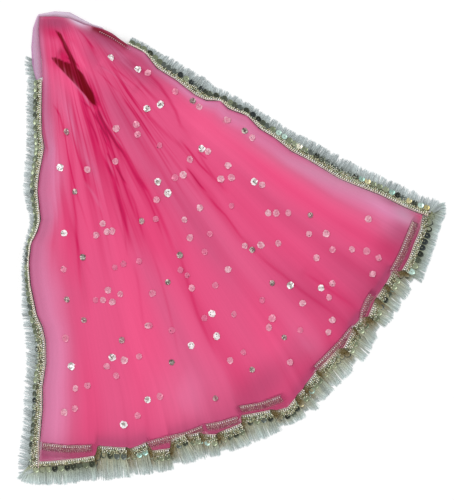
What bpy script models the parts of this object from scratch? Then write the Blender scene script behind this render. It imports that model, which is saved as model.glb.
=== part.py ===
import math
from collections import namedtuple

import bpy
import numpy as np

MM = 0.001
NET_WALL = 1.3
BRAID_WIDTH = 10.5
BRAID_WALL = 1.0
TRIM_FLAT = 30.0
SEAM = 0.3
FLOOR_LIFT = 0.3
HEM_LIFT = 1.6
EDGE_FOLD = 2.0
EDGE_REACH = 13.0
PLEAT_RISE = 1.4
PLEAT_RIDGE_REACH = 38.0
FOLD_LOW = 0.5
FOLD_STEP = 1.5
FOLD_BULGE = 0.75
TUCK_DEPTH = 8.0
TUCK_SHARE = 0.4
RUN_STEP = 15.0
LOCK_PITCH = 11.2
LOCK_SHARE = 0.78
LOCK_TIP_SHARE = 0.72
LOCK_TIP_WALL = 0.5
LOCK_TIP_LIFT = 0.4
STRIP_WIDTH = 2.0
STRIP_WALL = 1.0
LEDGE_RISE = 1.3
LEDGE_STEP = 5.5
SIDE_INSET = 28.0
HEM_INSET = 46.0
TOP_INSET = 14.0
UNDER_CLEAR = 0.4
UNDER_ROWS = 12
UNDER_COLUMNS = 12

# The net fans out from the gathered corner about this point of the floor.
FAN = np.array([-255.0, 327.8])
FAN_START = 92.7
FAN_END = 27.07
FAN_RADIUS = 640.0

# One row per section of the fan: its left and right ends, and how wide the trim looks there, 0 for none.
Section = namedtuple("Section", "left_x left_y left_trim right_x right_y right_trim")
SECTIONS = [
    Section(-285.0, 347.3, 0.0, -187.5, 327.8, 0.0),
    Section(-286.5, 327.8, 0.0, -175.5, 321.8, 0.0),
    Section(-285.0, 305.3, 0.0, -165.0, 313.5, 0.0),
    Section(-282.0, 279.8, 0.0, -153.6, 305.2, 11.0),
    Section(-280.5, 252.8, 22.5, -127.6, 292.2, 12.0),
    Section(-281.5, 204.8, 23.2, -109.5, 269.2, 22.7),
    Section(-281.0, 173.3, 22.5, -80.2, 251.0, 23.9),
    Section(-277.5, 150.8, 26.4, -52.6, 229.5, 28.7),
    Section(-285.1, 110.2, 22.3, -35.9, 221.1, 25.0),
    Section(-287.5, 86.2, 21.0, -14.4, 220.4, 16.1),
    Section(-282.6, 42.8, 16.0, -3.0, 208.5, 21.5),
    Section(-287.5, 24.8, 14.8, 25.4, 198.1, 16.4),
    Section(-297.0, 6.8, 10.6, 43.3, 179.1, 22.5),
    Section(-300.1, -23.2, 11.5, 67.2, 164.7, 22.1),
    Section(-297.9, -53.2, 12.9, 91.2, 145.5, 27.0),
    Section(-288.6, -99.8, 21.9, 115.0, 133.6, 26.8),
    Section(-280.6, -117.8, 26.3, 139.0, 119.2, 27.5),
    Section(-276.0, -140.2, 29.1, 162.9, 104.8, 29.3),
    Section(-275.5, -173.2, 29.0, 194.0, 91.8, 27.2),
    Section(-280.6, -207.8, 26.4, 225.0, 79.8, 25.2),
    Section(-280.5, -239.3, 28.0, 243.0, 70.5, 26.0),
    Section(-283.0, -269.3, 27.0, 259.5, 62.3, 26.3),
    Section(-285.3, -294.8, 28.0, 273.8, 56.0, 26.6),
    Section(-286.4, -319.5, 30.0, 287.2, 51.1, 26.0),
]

# The top of the fan, where the cloth is gathered, from left to right.
TOP_EDGE = [
    (-285.0, 347.3),
    (-261.0, 347.3),
    (-240.0, 344.3),
    (-219.0, 335.3),
    (-202.5, 331.5),
    (-187.5, 327.8),
]

# One row per pleat of the hem: the angles it shows between, its inner edge and how far its fringe reaches.
Pleat = namedtuple("Pleat", "start end edge reach_start reach_end")
PLEATS = [
    Pleat(92.70, 85.35, [648.0, 640.2], 681.0, 676.5),
    Pleat(84.80, 81.00, [625.8, 633.8], 676.0, 677.0),
    Pleat(80.50, 78.20, [636.8, 632.0], 677.0, 678.0),
    Pleat(77.60, 75.30, [645.6, 648.2], 678.5, 680.0),
    Pleat(74.85, 72.80, [635.4, 633.9], 677.0, 675.5),
    Pleat(72.30, 70.95, [636.6, 638.2], 675.5, 677.0),
    Pleat(70.50, 68.85, [642.6, 649.8], 677.5, 680.5),
    Pleat(68.40, 65.25, [648.5, 648.9], 681.0, 682.0),
    Pleat(64.85, 61.05, [638.4, 650.7], 682.0, 685.5),
    Pleat(60.36, 57.50, [656.1, 660.9, 655.0], 685.0, 685.0),
    Pleat(57.10, 55.95, [653.2, 649.8], 685.0, 685.5),
    Pleat(55.50, 53.20, [647.5, 639.8], 683.5, 677.0),
    Pleat(52.70, 49.00, [639.5, 634.0], 676.0, 671.5),
    Pleat(48.30, 45.75, [638.4, 627.8], 672.5, 666.5),
    Pleat(45.30, 43.60, [625.2, 625.3], 665.0, 660.0),
    Pleat(42.90, 40.70, [630.6, 622.2], 660.0, 660.0),
    Pleat(40.20, 38.45, [621.3, 619.3], 657.0, 655.5),
    Pleat(37.95, 35.80, [619.3, 616.2], 655.0, 653.5),
    Pleat(35.10, 27.07, [626.4, 624.6, 619.8, 617.0, 609.8], 656.0, 638.5),
]

# The pleats to the left of this one lie over their right neighbour, those to its right over their left.
LOWEST_PLEAT = 12

# Folds of the face: the line that each follows, its half width, and its height, negative for a valley.
Fold = namedtuple("Fold", "half_width height line")
FOLDS = [
    Fold(9.0, 4.5, [(-277, 280), (-262, 245), (-243, 193), (-217, 148), (-200, 110)]),
    Fold(
        9.0,
        -4.0,
        [(-270, 230), (-255, 193), (-243, 163), (-237, 125), (-228, 58), (-219, -17), (-207, -122)],
    ),
    Fold(
        9.0,
        -3.0,
        [(-217, 178), (-195, 140), (-180, 110), (-168, 80), (-157, 50), (-145, 13), (-135, -14)],
    ),
    Fold(9.0, -2.6, [(-135, 118), (-120, 95), (-105, 80), (-75, 13), (-60, -62), (-37, -122), (-12, -179)]),
    Fold(
        8.0,
        -3.5,
        [(-157, 283), (-135, 260), (-112, 245), (-97, 227), (-78, 196), (-52, 163), (-45, 148)],
    ),
    Fold(8.0, -2.5, [(-78, 163), (-52, 130), (-27, 110), (0, 80)]),
    Fold(
        6.5,
        -3.2,
        [(-64, 121), (-45, 92), (-7, 47), (15, 16), (37, -2), (67, -29), (105, -62), (172, -110)],
    ),
    Fold(9.0, 4.0, [(-195, 278), (-165, 256), (-135, 238)]),
    Fold(6.0, -3.0, [(-217, 310), (-198, 289)]),
    Fold(9.0, -13.0, [(-258, 296), (-247, 286), (-237, 271), (-225, 253), (-210, 229), (-197, 205)]),
    Fold(5.0, -4.0, [(-197, 205), (-168, 155), (-153, 133), (-135, 110), (-120, 80)]),
    Fold(7.0, 3.5, [(-268, 285), (-252, 279), (-242, 268), (-228, 246), (-208, 219), (-196, 194)]),
    Fold(7.0, 4.0, [(-252, 320), (-240, 298), (-228, 280), (-214, 250), (-199, 215)]),
    Fold(12.0, 2.5, [(-60, 190), (-10, 150), (40, 105), (110, 60), (180, 20)]),
    Fold(12.0, 2.0, [(-170, 40), (-150, -60), (-135, -160), (-125, -250)]),
    Fold(11.0, 2.0, [(-100, 60), (-70, -40), (-45, -130), (-20, -210)]),
    Fold(10.0, -2.0, [(105, -32), (150, -60), (195, -92)]),
]

# Height of the hidden pile of folds under the face, from the gathered corner down to the hem.
PILE_AT = [0.0, 0.1, 0.22, 0.4, 0.7, 1.0]
PILE_HEIGHT = [15.0, 16.0, 12.5, 9.5, 8.0, 7.5]

# The turned-back loop of net round the gathered corner. A low foot runs on from its inner edge.
Loop = namedtuple("Loop", "inner_x inner_y outer_x outer_y height")
LOOPS = [
    Loop(-284.3, 262.0, -287.3, 261.0, 1.4),
    Loop(-285.6, 279.8, -296.0, 277.5, 3.6),
    Loop(-287.4, 303.0, -298.0, 303.0, 5.4),
    Loop(-288.4, 327.8, -295.5, 330.5, 5.6),
    Loop(-287.3, 346.0, -290.0, 346.5, 4.2),
    Loop(-286.3, 348.8, -287.4, 351.2, 3.6),
    Loop(-261.0, 349.2, -262.5, 355.6, 5.4),
    Loop(-240.0, 346.2, -240.0, 354.0, 5.6),
    Loop(-218.0, 337.4, -222.0, 344.3, 4.4),
    Loop(-203.0, 333.4, -207.0, 336.6, 2.2),
    Loop(-190.5, 330.4, -191.5, 331.8, 1.2),
]

# The round of the loop's section: shares of its width and height, from its outer edge to its inner one.
LOOP_ROUND = [(1.0, 0.0), (0.98, 0.2), (0.8, 0.8), (0.5, 1.0), (0.2, 0.75), (0.04, 0.04)]
LOOP_FOOT = 2.4
LOOP_FOOT_HEIGHT = 1.9

# Folded-under runs of the hem braid that show through the net: angles and distances from the fan point.
Tuck = namedtuple("Tuck", "name start end edge lift")
TUCKS = [
    Tuck("left", 92.2, 86.3, [619.5, 623.0, 622.8], 0.9),
    Tuck("middle", 64.6, 58.9, [624.2, 634.0, 639.5], 0.3),
    Tuck("right", 34.1, 28.4, [608.0, 604.0, 600.5], 0.9),
]

COLOURS = {
    "net": (0.72, 0.075, 0.2, 1.0),
    "net_deep": (0.5, 0.03, 0.1, 1.0),
    "net_pale": (0.6, 0.28, 0.42, 1.0),
    "braid": (0.6, 0.53, 0.38, 1.0),
    "braid_tinted": (0.42, 0.2, 0.22, 1.0),
    "fringe": (0.45, 0.5, 0.45, 1.0),
}


def smooth(value):
    value = np.clip(value, 0.0, 1.0)
    return value * value * (3.0 - 2.0 * value)


def along(line, share):
    """Point at a share of the length of a line."""
    line = np.asarray(line, float)
    length = np.concatenate([[0.0], np.cumsum(np.linalg.norm(np.diff(line, axis=0), axis=1))])
    columns = range(line.shape[1])
    return np.stack([np.interp(share * length[-1], length, line[:, k]) for k in columns], axis=-1)


def fan_point(theta, radius):
    angle = np.radians(theta)
    return np.stack([FAN[0] + radius * np.cos(angle), FAN[1] - radius * np.sin(angle)], axis=-1)


def arc_of(theta):
    """Distance along the hem of an angle of the fan, from the left corner."""
    return (FAN_START - theta) * math.radians(FAN_RADIUS)


def angle_of(arc):
    return FAN_START - np.degrees(np.asarray(arc) / FAN_RADIUS)


def edge_radius(pleat, arc):
    """Distance of the braid's inner edge from the fan point, at a place along a pleat."""
    places = np.linspace(arc_of(pleat.start), arc_of(pleat.end), len(pleat.edge))
    return np.interp(arc, places, pleat.edge)


def bends_of(pleat, start, end):
    """Places between start and end where the edge of a pleat turns."""
    places = np.linspace(arc_of(pleat.start), arc_of(pleat.end), len(pleat.edge))[1:-1]
    return [float(place) for place in places if start + 2.0 < place < end - 2.0]


def hem_columns():
    """Places along the hem with a column of points: distance, edge radius and extra height."""
    columns = []
    for k, pleat in enumerate(PLEATS):
        start, end = arc_of(pleat.start), arc_of(pleat.end)
        width = end - start
        high_end = k < LOWEST_PLEAT
        high_start = k > LOWEST_PLEAT
        first = start - 1.7 if high_start else start
        last = end + 1.7 if high_end else end
        places = [first]
        inner = max(len(pleat.edge) - 2, int(width / 24.0))
        if k == 0:
            places += [9.0, 18.0, 28.0, 42.0, 60.0]
        elif k == len(PLEATS) - 1:
            places += [*bends_of(pleat, start, end), end - 9.0]
        elif inner:
            places += list(np.linspace(start, end, inner + 2)[1:-1])
        places.append(last)
        for place in places:
            share = (place - first) / (last - first)
            rise = share if high_end else 1.0 - share if high_start else 0.35 * math.sin(math.pi * share)
            columns.append((place, float(edge_radius(pleat, place)) - 2.0 * SEAM, rise))
    return np.array(columns)


def moving_mean(points, reach):
    """The line with its waves taken out."""
    out = np.array(points, float)
    for k in range(len(points)):
        low, high = max(0, k - reach), min(len(points), k + reach + 1)
        span = min(k - low, high - 1 - k)
        out[k] = np.mean(points[k - span : k + span + 1], axis=0)
    return out


class Face:
    """The laid-out net: where each point of the fan lies, and how high its underside is."""

    def __init__(self):
        self.left = np.array([(s.left_x, s.left_y) for s in SECTIONS])
        self.right = np.array([(s.right_x, s.right_y) for s in SECTIONS])
        left_steps = np.linalg.norm(np.diff(self.left, axis=0), axis=1)
        right_steps = np.linalg.norm(np.diff(self.right, axis=0), axis=1)
        steps = 0.5 * (left_steps + right_steps)
        self.v = np.concatenate([[0.0], np.cumsum(steps)])
        self.depth = self.v[-1]
        self.v /= self.depth
        self.columns = hem_columns()
        self.u = self.columns[:, 0] / self.columns[-1, 0]
        self.u[0] = 0.0
        self.left_base = moving_mean(self.left, 5)
        self.right_base = moving_mean(self.right, 3)
        trim_left = np.array([s.left_trim for s in SECTIONS])
        trim_right = np.array([s.right_trim for s in SECTIONS])
        self.left_rise = np.where(trim_left > 0, rise_of(trim_left), EDGE_FOLD)
        self.right_rise = np.where(trim_right > 0, rise_of(trim_right), EDGE_FOLD)

    def hem(self, u):
        """The true hem and the hem with its steps taken out, at a share of its length."""
        arc = u * self.columns[-1, 0]
        radius = np.interp(arc, self.columns[:, 0], self.columns[:, 1])
        theta = angle_of(arc)
        first, last = self.columns[0, 1], self.columns[-1, 1]
        mean = first + (last - first) * u - 26.0 * u * u * (u - 1.0) * 4.0
        return fan_point(theta, radius), fan_point(theta, mean)

    def point(self, u, v):
        u, v = np.asarray(u, float), np.asarray(v, float)

        def at(line):
            return np.stack([np.interp(v, self.v, line[:, k]) for k in (0, 1)], axis=-1)

        low, high = at(self.left_base), at(self.right_base)
        wave_left, wave_right = at(self.left) - low, at(self.right) - high
        hem, hem_mean = self.hem(u)
        top = along(TOP_EDGE, u)
        uu, vv = u[..., None], v[..., None]
        corners = (1 - vv) * ((1 - uu) * self.left_base[0] + uu * self.right_base[0])
        corners = corners + vv * ((1 - uu) * self.left_base[-1] + uu * self.right_base[-1])
        base = (1 - uu) * low + uu * high + (1 - vv) * top + vv * hem_mean - corners
        base = base + (1 - smooth(uu / 0.14)) * wave_left + (1 - smooth((1 - uu) / 0.14)) * wave_right
        near_hem = smooth((vv - self.v[-3]) / (1 - self.v[-3]))
        return base + near_hem * (hem - hem_mean)

    def width(self, v):
        ends = self.point(np.array([0.0, 1.0]), np.array([v, v]))
        return float(np.linalg.norm(ends[1] - ends[0])) * 1.06

    def height(self, u, v):
        """Height of the underside of the net."""
        x, y = self.point(u, v)
        across = self.width(v)
        from_left, from_right = u * across, (1.0 - u) * across
        from_top, from_hem = v * self.depth, (1.0 - v) * self.depth
        pile = np.interp(v, PILE_AT, PILE_HEIGHT)
        pile *= smooth(from_left / 66.0) * smooth(from_right / 58.0) * smooth(from_hem / 62.0)
        pile *= 0.12 + 0.88 * smooth(from_top / 34.0)
        mask = smooth(from_left / 26.0) * smooth(from_right / 26.0)
        mask *= smooth(from_hem / 44.0) * smooth(from_top / 22.0)
        relief = mask * sum(fold_height(fold, x, y) for fold in FOLDS)
        lift = FLOOR_LIFT + (HEM_LIFT - FLOOR_LIFT) * (1.0 - smooth(from_hem / 90.0))
        lift += max(
            np.interp(v, self.v, self.left_rise) * math.exp(-((from_left / EDGE_REACH) ** 2)),
            np.interp(v, self.v, self.right_rise) * math.exp(-((from_right / EDGE_REACH) ** 2)),
            EDGE_FOLD * math.exp(-((from_top / EDGE_REACH) ** 2)),
        )
        rise = np.interp(u * self.columns[-1, 0], self.columns[:, 0], self.columns[:, 2])
        lift += PLEAT_RISE * rise * math.exp(-((from_hem / PLEAT_RIDGE_REACH) ** 2))
        return lift + max(0.0, pile + max(relief, -0.75 * pile))


def rise_of(trim):
    """How high the inner edge of the braid stands where the trim looks narrower than it is."""
    spread = np.clip(np.asarray(trim) / TRIM_FLAT, 0.3, 1.0)
    return BRAID_WIDTH * np.sqrt(1.0 - spread * spread)


def fold_height(fold, x, y):
    line = np.asarray(fold.line, float)
    length = np.concatenate([[0.0], np.cumsum(np.linalg.norm(np.diff(line, axis=0), axis=1))])
    best, at = 1e9, 0.0
    for k in range(len(line) - 1):
        step = line[k + 1] - line[k]
        share = np.clip(((x - line[k][0]) * step[0] + (y - line[k][1]) * step[1]) / (step @ step), 0.0, 1.0)
        near = math.hypot(x - line[k][0] - share * step[0], y - line[k][1] - share * step[1])
        if near < best:
            best, at = near, length[k] + share * (length[k + 1] - length[k])
    ends = smooth((at + 4.0) / 24.0) * smooth((length[-1] - at + 4.0) / 30.0)
    return fold.height * ends * math.exp(-((best / fold.half_width) ** 2))


def add_solid(name, points, faces, colour, sharp=38.0):
    mesh = bpy.data.meshes.new(name)
    mesh.from_pydata([tuple(float(c) * MM for c in p) for p in points], [], faces)
    mesh.validate()
    mesh.update()
    mesh.shade_smooth()
    mesh.set_sharp_from_angle(angle=math.radians(sharp))
    obj = bpy.data.objects.new(name, mesh)
    bpy.context.scene.collection.objects.link(obj)
    mesh.materials.append(material(colour))
    return obj


def material(colour):
    found = bpy.data.materials.get(colour)
    if found:
        return found
    made = bpy.data.materials.new(colour)
    made.use_nodes = True
    shader = made.node_tree.nodes["Principled BSDF"]
    shader.inputs["Base Color"].default_value = COLOURS[colour]
    shader.inputs["Roughness"].default_value = 0.5 if "braid" in colour else 0.75
    shader.inputs["Metallic"].default_value = 0.35 if "braid" in colour else 0.0
    made.diffuse_color = COLOURS[colour]
    return made


def triangles(a, b, c, d):
    """A four-sided face as two triangles, always split the same way."""
    return [(a, b, c), (a, c, d)]


def slab(bottom, top):
    """Points and faces of a closed wall between two grids of points, rows by columns."""
    rows, columns = bottom.shape[:2]
    count = rows * columns
    points = np.concatenate([bottom.reshape(-1, 3), top.reshape(-1, 3)])

    def at(row, column, level):
        return level * count + row * columns + column

    faces = []
    for r in range(rows - 1):
        for c in range(columns - 1):
            corners = ((r, c), (r + 1, c), (r + 1, c + 1), (r, c + 1))
            faces += triangles(*(at(*corner, 1) for corner in corners))
            faces += [face[::-1] for face in triangles(*(at(*corner, 0) for corner in corners))]
    rim = [(r, 0) for r in range(rows)] + [(rows - 1, c) for c in range(1, columns)]
    rim += [(r, columns - 1) for r in range(rows - 2, -1, -1)] + [(0, c) for c in range(columns - 2, 0, -1)]
    for k, here in enumerate(rim):
        there = rim[(k + 1) % len(rim)]
        faces += triangles(at(*here, 0), at(*there, 0), at(*there, 1), at(*here, 1))
    return points, faces


def tube(sections):
    """Points and faces of a closed solid through sections that have the same number of points."""
    sections = np.asarray(sections, float)
    count, sides = sections.shape[:2]
    faces = []
    for k in range(count - 1):
        for s in range(sides):
            t = (s + 1) % sides
            corners = [k * sides + s, (k + 1) * sides + s, (k + 1) * sides + t, k * sides + t]
            turned = corners if s < sides // 2 else corners[1:] + corners[:1]
            faces += triangles(*turned)
    faces.append(tuple(range(sides)))
    faces.append(tuple(reversed(range((count - 1) * sides, count * sides))))
    points = sections.reshape(-1, 3)
    if signed_volume(points, faces) < 0:
        faces = [tuple(reversed(f)) for f in faces]
    return points, faces


def signed_volume(points, faces):
    total = 0.0
    for face in faces:
        for k in range(1, len(face) - 1):
            a, b, c = (points[face[i]] for i in (0, k, k + 1))
            total += float(np.dot(a, np.cross(b, c)))
    return total


def build_face(face):
    rows, columns = len(face.v), len(face.u)
    bottom = np.zeros((rows, columns, 3))
    for r, v in enumerate(face.v):
        bottom[r, :, :2] = face.point(face.u, np.full(columns, v))
        bottom[r, :, 2] = [face.height(u, v) for u in face.u]
    normal = grid_normals(bottom)
    top = bottom.copy()
    top[:, :, 2] += NET_WALL / np.clip(normal[:, :, 2], 0.62, 1.0)
    points, faces = slab(bottom, top)
    add_solid("net_face", points, faces, "net")
    return bottom


def grid_normals(grid):
    """Unit normals of a grid of points, pointing up."""
    down = np.gradient(grid, axis=0)
    across = np.gradient(grid, axis=1)
    normal = np.cross(down, across)
    normal *= np.sign(normal[:, :, 2:3])
    return normal / np.linalg.norm(normal, axis=2, keepdims=True)


def build_underfolds(face, net):
    """The hidden layers under the face, as one low solid that steps down like folded cloth at its edges."""
    steps = [0.0, LEDGE_STEP, LEDGE_STEP + 0.4, 2 * LEDGE_STEP, 2 * LEDGE_STEP + 0.4]
    ledge = [LEDGE_RISE, LEDGE_RISE, 2 * LEDGE_RISE, 2 * LEDGE_RISE, 1e6]
    first, last = TOP_INSET + 2 * LEDGE_STEP, face.depth - HEM_INSET - 2 * LEDGE_STEP
    inner_v = np.linspace(first, last, UNDER_ROWS)[1:-1]
    from_top = [TOP_INSET + s for s in steps] + list(inner_v)
    from_top += [face.depth - HEM_INSET - s for s in reversed(steps)]
    row_cap = ledge + [1e6] * len(inner_v) + ledge[::-1]
    shares = np.linspace(0.0, 1.0, UNDER_COLUMNS)[1:-1]
    column_cap = ledge + [1e6] * len(shares) + ledge[::-1]
    rows, columns = len(from_top), len(column_cap)
    place = np.zeros((rows, columns, 2))
    for r, distance in enumerate(from_top):
        v = distance / face.depth
        across = face.width(v)
        inset = min(SIDE_INSET, 0.17 * across)
        edge = [(inset + s) / across for s in steps]
        middle = list(edge[-1] + shares * (1.0 - 2.0 * edge[-1]))
        place[r, :, 0] = edge + middle + [1.0 - e for e in reversed(edge)]
        place[r, :, 1] = v
    bottom = np.zeros((rows, columns, 3))
    bottom[:, :, :2] = face.point(place[:, :, 0], place[:, :, 1])
    top = bottom.copy()
    for r in range(rows):
        for c in range(columns):
            low_r, high_r = max(0, r - 1), min(rows - 1, r + 1)
            low_c, high_c = max(0, c - 1), min(columns - 1, c + 1)
            v_low, v_high = place[low_r, c, 1], place[high_r, c, 1]
            window = place[low_r : high_r + 1, low_c : high_c + 1, 0]
            r0 = max(0, int(np.searchsorted(face.v, v_low, "right")) - 1)
            r1 = min(len(face.v) - 1, int(np.searchsorted(face.v, v_high, "left")))
            c0 = max(0, int(np.searchsorted(face.u, window.min(), "right")) - 1)
            c1 = min(len(face.u) - 1, int(np.searchsorted(face.u, window.max(), "left")))
            free = net[r0 : r1 + 1, c0 : c1 + 1, 2].min() - UNDER_CLEAR
            top[r, c, 2] = max(0.6, min(free, row_cap[r], column_cap[c]))
    points, faces = slab(bottom, top)
    add_solid("net_underfolds", points, faces, "net_deep")


def outward_normals(line, side):
    step = np.gradient(line, axis=0)
    step /= np.linalg.norm(step, axis=1, keepdims=True)
    return side * np.stack([-step[:, 1], step[:, 0]], axis=1)


def edge_braid(name, line, trims, side):
    """A braid along a wavy side edge, standing on its outer edge where the trim looks narrow."""
    normal = outward_normals(line, side)
    spread = np.clip(trims / TRIM_FLAT, 0.3, 1.0)
    rise = rise_of(trims)
    sections, outer = [], []
    for k, point in enumerate(line):
        tilt = np.array([*(normal[k] * math.sqrt(1 - spread[k] ** 2)), spread[k]])
        inner_low = np.array([*(point + normal[k] * SEAM), rise[k] + FLOOR_LIFT])
        outer_low = np.array([*(point + normal[k] * (SEAM + BRAID_WIDTH * spread[k])), 0.0])
        inner_high = inner_low + BRAID_WALL * tilt
        outer_high = outer_low + BRAID_WALL * tilt
        sections.append([inner_low, outer_low, outer_high, inner_high])
        outer.append(outer_high[:2] + normal[k] * SEAM)
    add_solid(name, *tube(sections), "braid")
    return np.array(outer), normal


def fringe(name, root, normal, reach, lift, lean=0.0):
    """Locks of fringe off a narrow strip, from its inner edge, directions, lengths and heights."""
    root, normal = np.asarray(root, float), np.asarray(normal, float)
    reach, lift = np.asarray(reach, float), np.asarray(lift, float)
    shares, lock = [], []
    for k in range(len(root) - 1):
        length = float(np.linalg.norm(root[k + 1] - root[k]))
        count = max(1, round(length / LOCK_PITCH))
        gap = (1.0 - LOCK_SHARE) / 2.0
        for n in range(count):
            shares += [k + (n + gap) / count, k + (n + 1 - gap) / count]
            lock += [True, False]
        if k < len(root) - 2:
            shares.append(k + 1.0)
            lock.append(False)
    shares = np.array([0.0] + shares + [len(root) - 1.0])
    lock = [False] + lock
    index = np.arange(len(root))

    def at(values):
        values = np.asarray(values, float)
        if values.ndim == 1:
            return np.interp(shares, index, values)
        return np.stack([np.interp(shares, index, values[:, k]) for k in range(values.shape[1])], axis=1)

    inner, out, low, far = at(root), at(normal), at(lift), at(reach)
    out /= np.linalg.norm(out, axis=1, keepdims=True)
    sections = []
    for k in range(len(shares)):
        edge = inner[k] + out[k] * STRIP_WIDTH
        sections.append(
            [
                (*inner[k], low[k]),
                (*edge, low[k]),
                (*edge, low[k] + STRIP_WALL),
                (*inner[k], low[k] + STRIP_WALL),
            ]
        )
    points = [np.array(p) for section in sections for p in section]
    faces = [(0, 1, 2, 3)]
    for k in range(len(shares) - 1):
        a, b = 4 * k, 4 * (k + 1)
        for s in (0, 2, 3):
            t = (s + 1) % 4
            faces += triangles(a + s, b + s, b + t, a + t)
        if not lock[k]:
            faces += triangles(a + 1, b + 1, b + 2, a + 2)
            continue
        near, far_edge = points[a + 1], points[b + 1]
        middle = 0.5 * (near[:2] + far_edge[:2])
        half = 0.5 * (far_edge[:2] - near[:2]) * LOCK_TIP_SHARE
        way = out[k] + out[k + 1]
        way /= np.linalg.norm(way)
        turned = way + lean * np.array([-way[1], way[0]])
        vary = 1.0 + 0.07 * math.sin(2.4 * k) + 0.05 * math.sin(5.1 * k + 1.0)
        tip = middle + turned * max(3.0, (0.5 * (far[k] + far[k + 1]) - STRIP_WIDTH) * vary)
        base = len(points)
        for corner, level in ((-half, 0.0), (half, 0.0), (half, LOCK_TIP_WALL), (-half, LOCK_TIP_WALL)):
            points.append(np.array([*(tip + corner), LOCK_TIP_LIFT + level]))
        ring_root = [a + 1, b + 1, b + 2, a + 2]
        ring_tip = [base, base + 1, base + 2, base + 3]
        for s in range(4):
            t = (s + 1) % 4
            faces += triangles(ring_root[s], ring_root[t], ring_tip[t], ring_tip[s])
        faces.append(tuple(ring_tip))
    last = 4 * (len(shares) - 1)
    faces.append((last + 3, last + 2, last + 1, last))
    points = np.array(points)
    if signed_volume(points, faces) < 0:
        faces = [tuple(reversed(f)) for f in faces]
    add_solid(name, points, faces, "fringe", 25.0)


def hem_path():
    """The pleated run of the hem braid: distance along the hem, inner radius and height, folds included."""
    low, middle, high = (FOLD_LOW + FOLD_STEP * k for k in range(3))
    path, visible = [], []

    def run(pleat, start, end, level_start, level_end):
        count = max(2, int(math.ceil(abs(end - start) / RUN_STEP)) + 1)
        places = list(np.linspace(start, end, count))
        for place in sorted(places + bends_of(pleat, start, end)):
            share = (place - start) / (end - start)
            level = level_start + (level_end - level_start) * float(smooth(share))
            path.append((place, float(edge_radius(pleat, place)), level))

    for k, pleat in enumerate(PLEATS):
        start, end = arc_of(pleat.start), arc_of(pleat.end)
        depth = min(TUCK_DEPTH, TUCK_SHARE * (end - start))
        first = len(path)
        if k < LOWEST_PLEAT:
            run(pleat, start, start + 1.0, low, low)
            run(pleat, start + 1.5, end - depth - 2.0, low, high)
            path.append((end, pleat.edge[-1], high))
            visible.append((first, len(path)))
            turn = float(edge_radius(pleat, end - depth))
            path.append((end + FOLD_BULGE, pleat.edge[-1], high - FOLD_BULGE))
            path.append((end, pleat.edge[-1], middle))
            path.append((end - depth, turn, middle))
            path.append((end - depth - FOLD_BULGE, turn, middle - FOLD_BULGE))
            path.append((end - depth, turn, low))
        elif k == LOWEST_PLEAT:
            run(pleat, start, end, low, low)
            visible.append((first, len(path)))
        else:
            turn = float(edge_radius(pleat, start + depth))
            path.append((start + depth, turn, low))
            path.append((start + depth + FOLD_BULGE, turn, low + FOLD_BULGE))
            path.append((start + depth, turn, middle))
            path.append((start, pleat.edge[0], middle))
            path.append((start - FOLD_BULGE, pleat.edge[0], high - FOLD_BULGE))
            first = len(path)
            path.append((start, pleat.edge[0], high))
            run(pleat, start + depth + 2.0, end - 1.5, high, low)
            run(pleat, end - 1.0, end, low, low)
            visible.append((first, len(path)))
    return np.array(path), visible


def offset_path(path, distance):
    """The path in the plane of distance and height, moved to one side by the distance."""
    flat = path[:, [0, 2]]
    step = np.diff(flat, axis=0)
    step /= np.linalg.norm(step, axis=1, keepdims=True)
    before = np.concatenate([step[:1], step])
    after = np.concatenate([step, step[-1:]])
    normal_before = np.stack([-before[:, 1], before[:, 0]], axis=1)
    normal_after = np.stack([-after[:, 1], after[:, 0]], axis=1)
    bisector = normal_before + normal_after
    bisector /= np.linalg.norm(bisector, axis=1, keepdims=True)
    length = distance / np.clip((bisector * normal_after).sum(axis=1), 0.5, 1.0)
    return flat + bisector * length[:, None]


def build_hem():
    path, visible = hem_path()
    upper = offset_path(path, BRAID_WALL / 2.0)
    lower = offset_path(path, -BRAID_WALL / 2.0)
    sections = []
    for k in range(len(path)):
        section = []
        for line, extra in ((lower, 0.0), (lower, BRAID_WIDTH), (upper, BRAID_WIDTH), (upper, 0.0)):
            spot = fan_point(angle_of(line[k, 0]), path[k, 1] + extra)
            section.append((spot[0], spot[1], line[k, 1]))
        sections.append(section)
    add_solid("braid_hem", *tube(sections), "braid")
    for k, pleat in enumerate(PLEATS):
        first, last = visible[k]
        level_at, level = path[first:last, 0], path[first:last, 2] - BRAID_WALL / 2.0
        start, end = arc_of(pleat.start), arc_of(pleat.end)
        start, end = start + 0.4, end - 0.4
        if k == 0:
            start = -10.0
        if k == len(PLEATS) - 1:
            end += 8.0
        places = list(np.linspace(start, end, max(2, round((end - start) / LOCK_PITCH) + 1)))
        places = np.array(sorted(places + bends_of(pleat, start, end)))
        inside = np.clip(places, arc_of(pleat.start), arc_of(pleat.end))
        radius = edge_radius(pleat, inside) + BRAID_WIDTH + SEAM
        shown = [arc_of(pleat.start), arc_of(pleat.end)]
        reach = np.interp(inside, shown, [pleat.reach_start, pleat.reach_end])
        theta = angle_of(places)
        away = np.stack([np.cos(np.radians(theta)), -np.sin(np.radians(theta))], axis=1)
        lift = np.interp(inside, level_at, level)
        fringe(f"fringe_hem_{k + 1:02d}", fan_point(theta, radius), away, reach - radius, lift)


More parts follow.
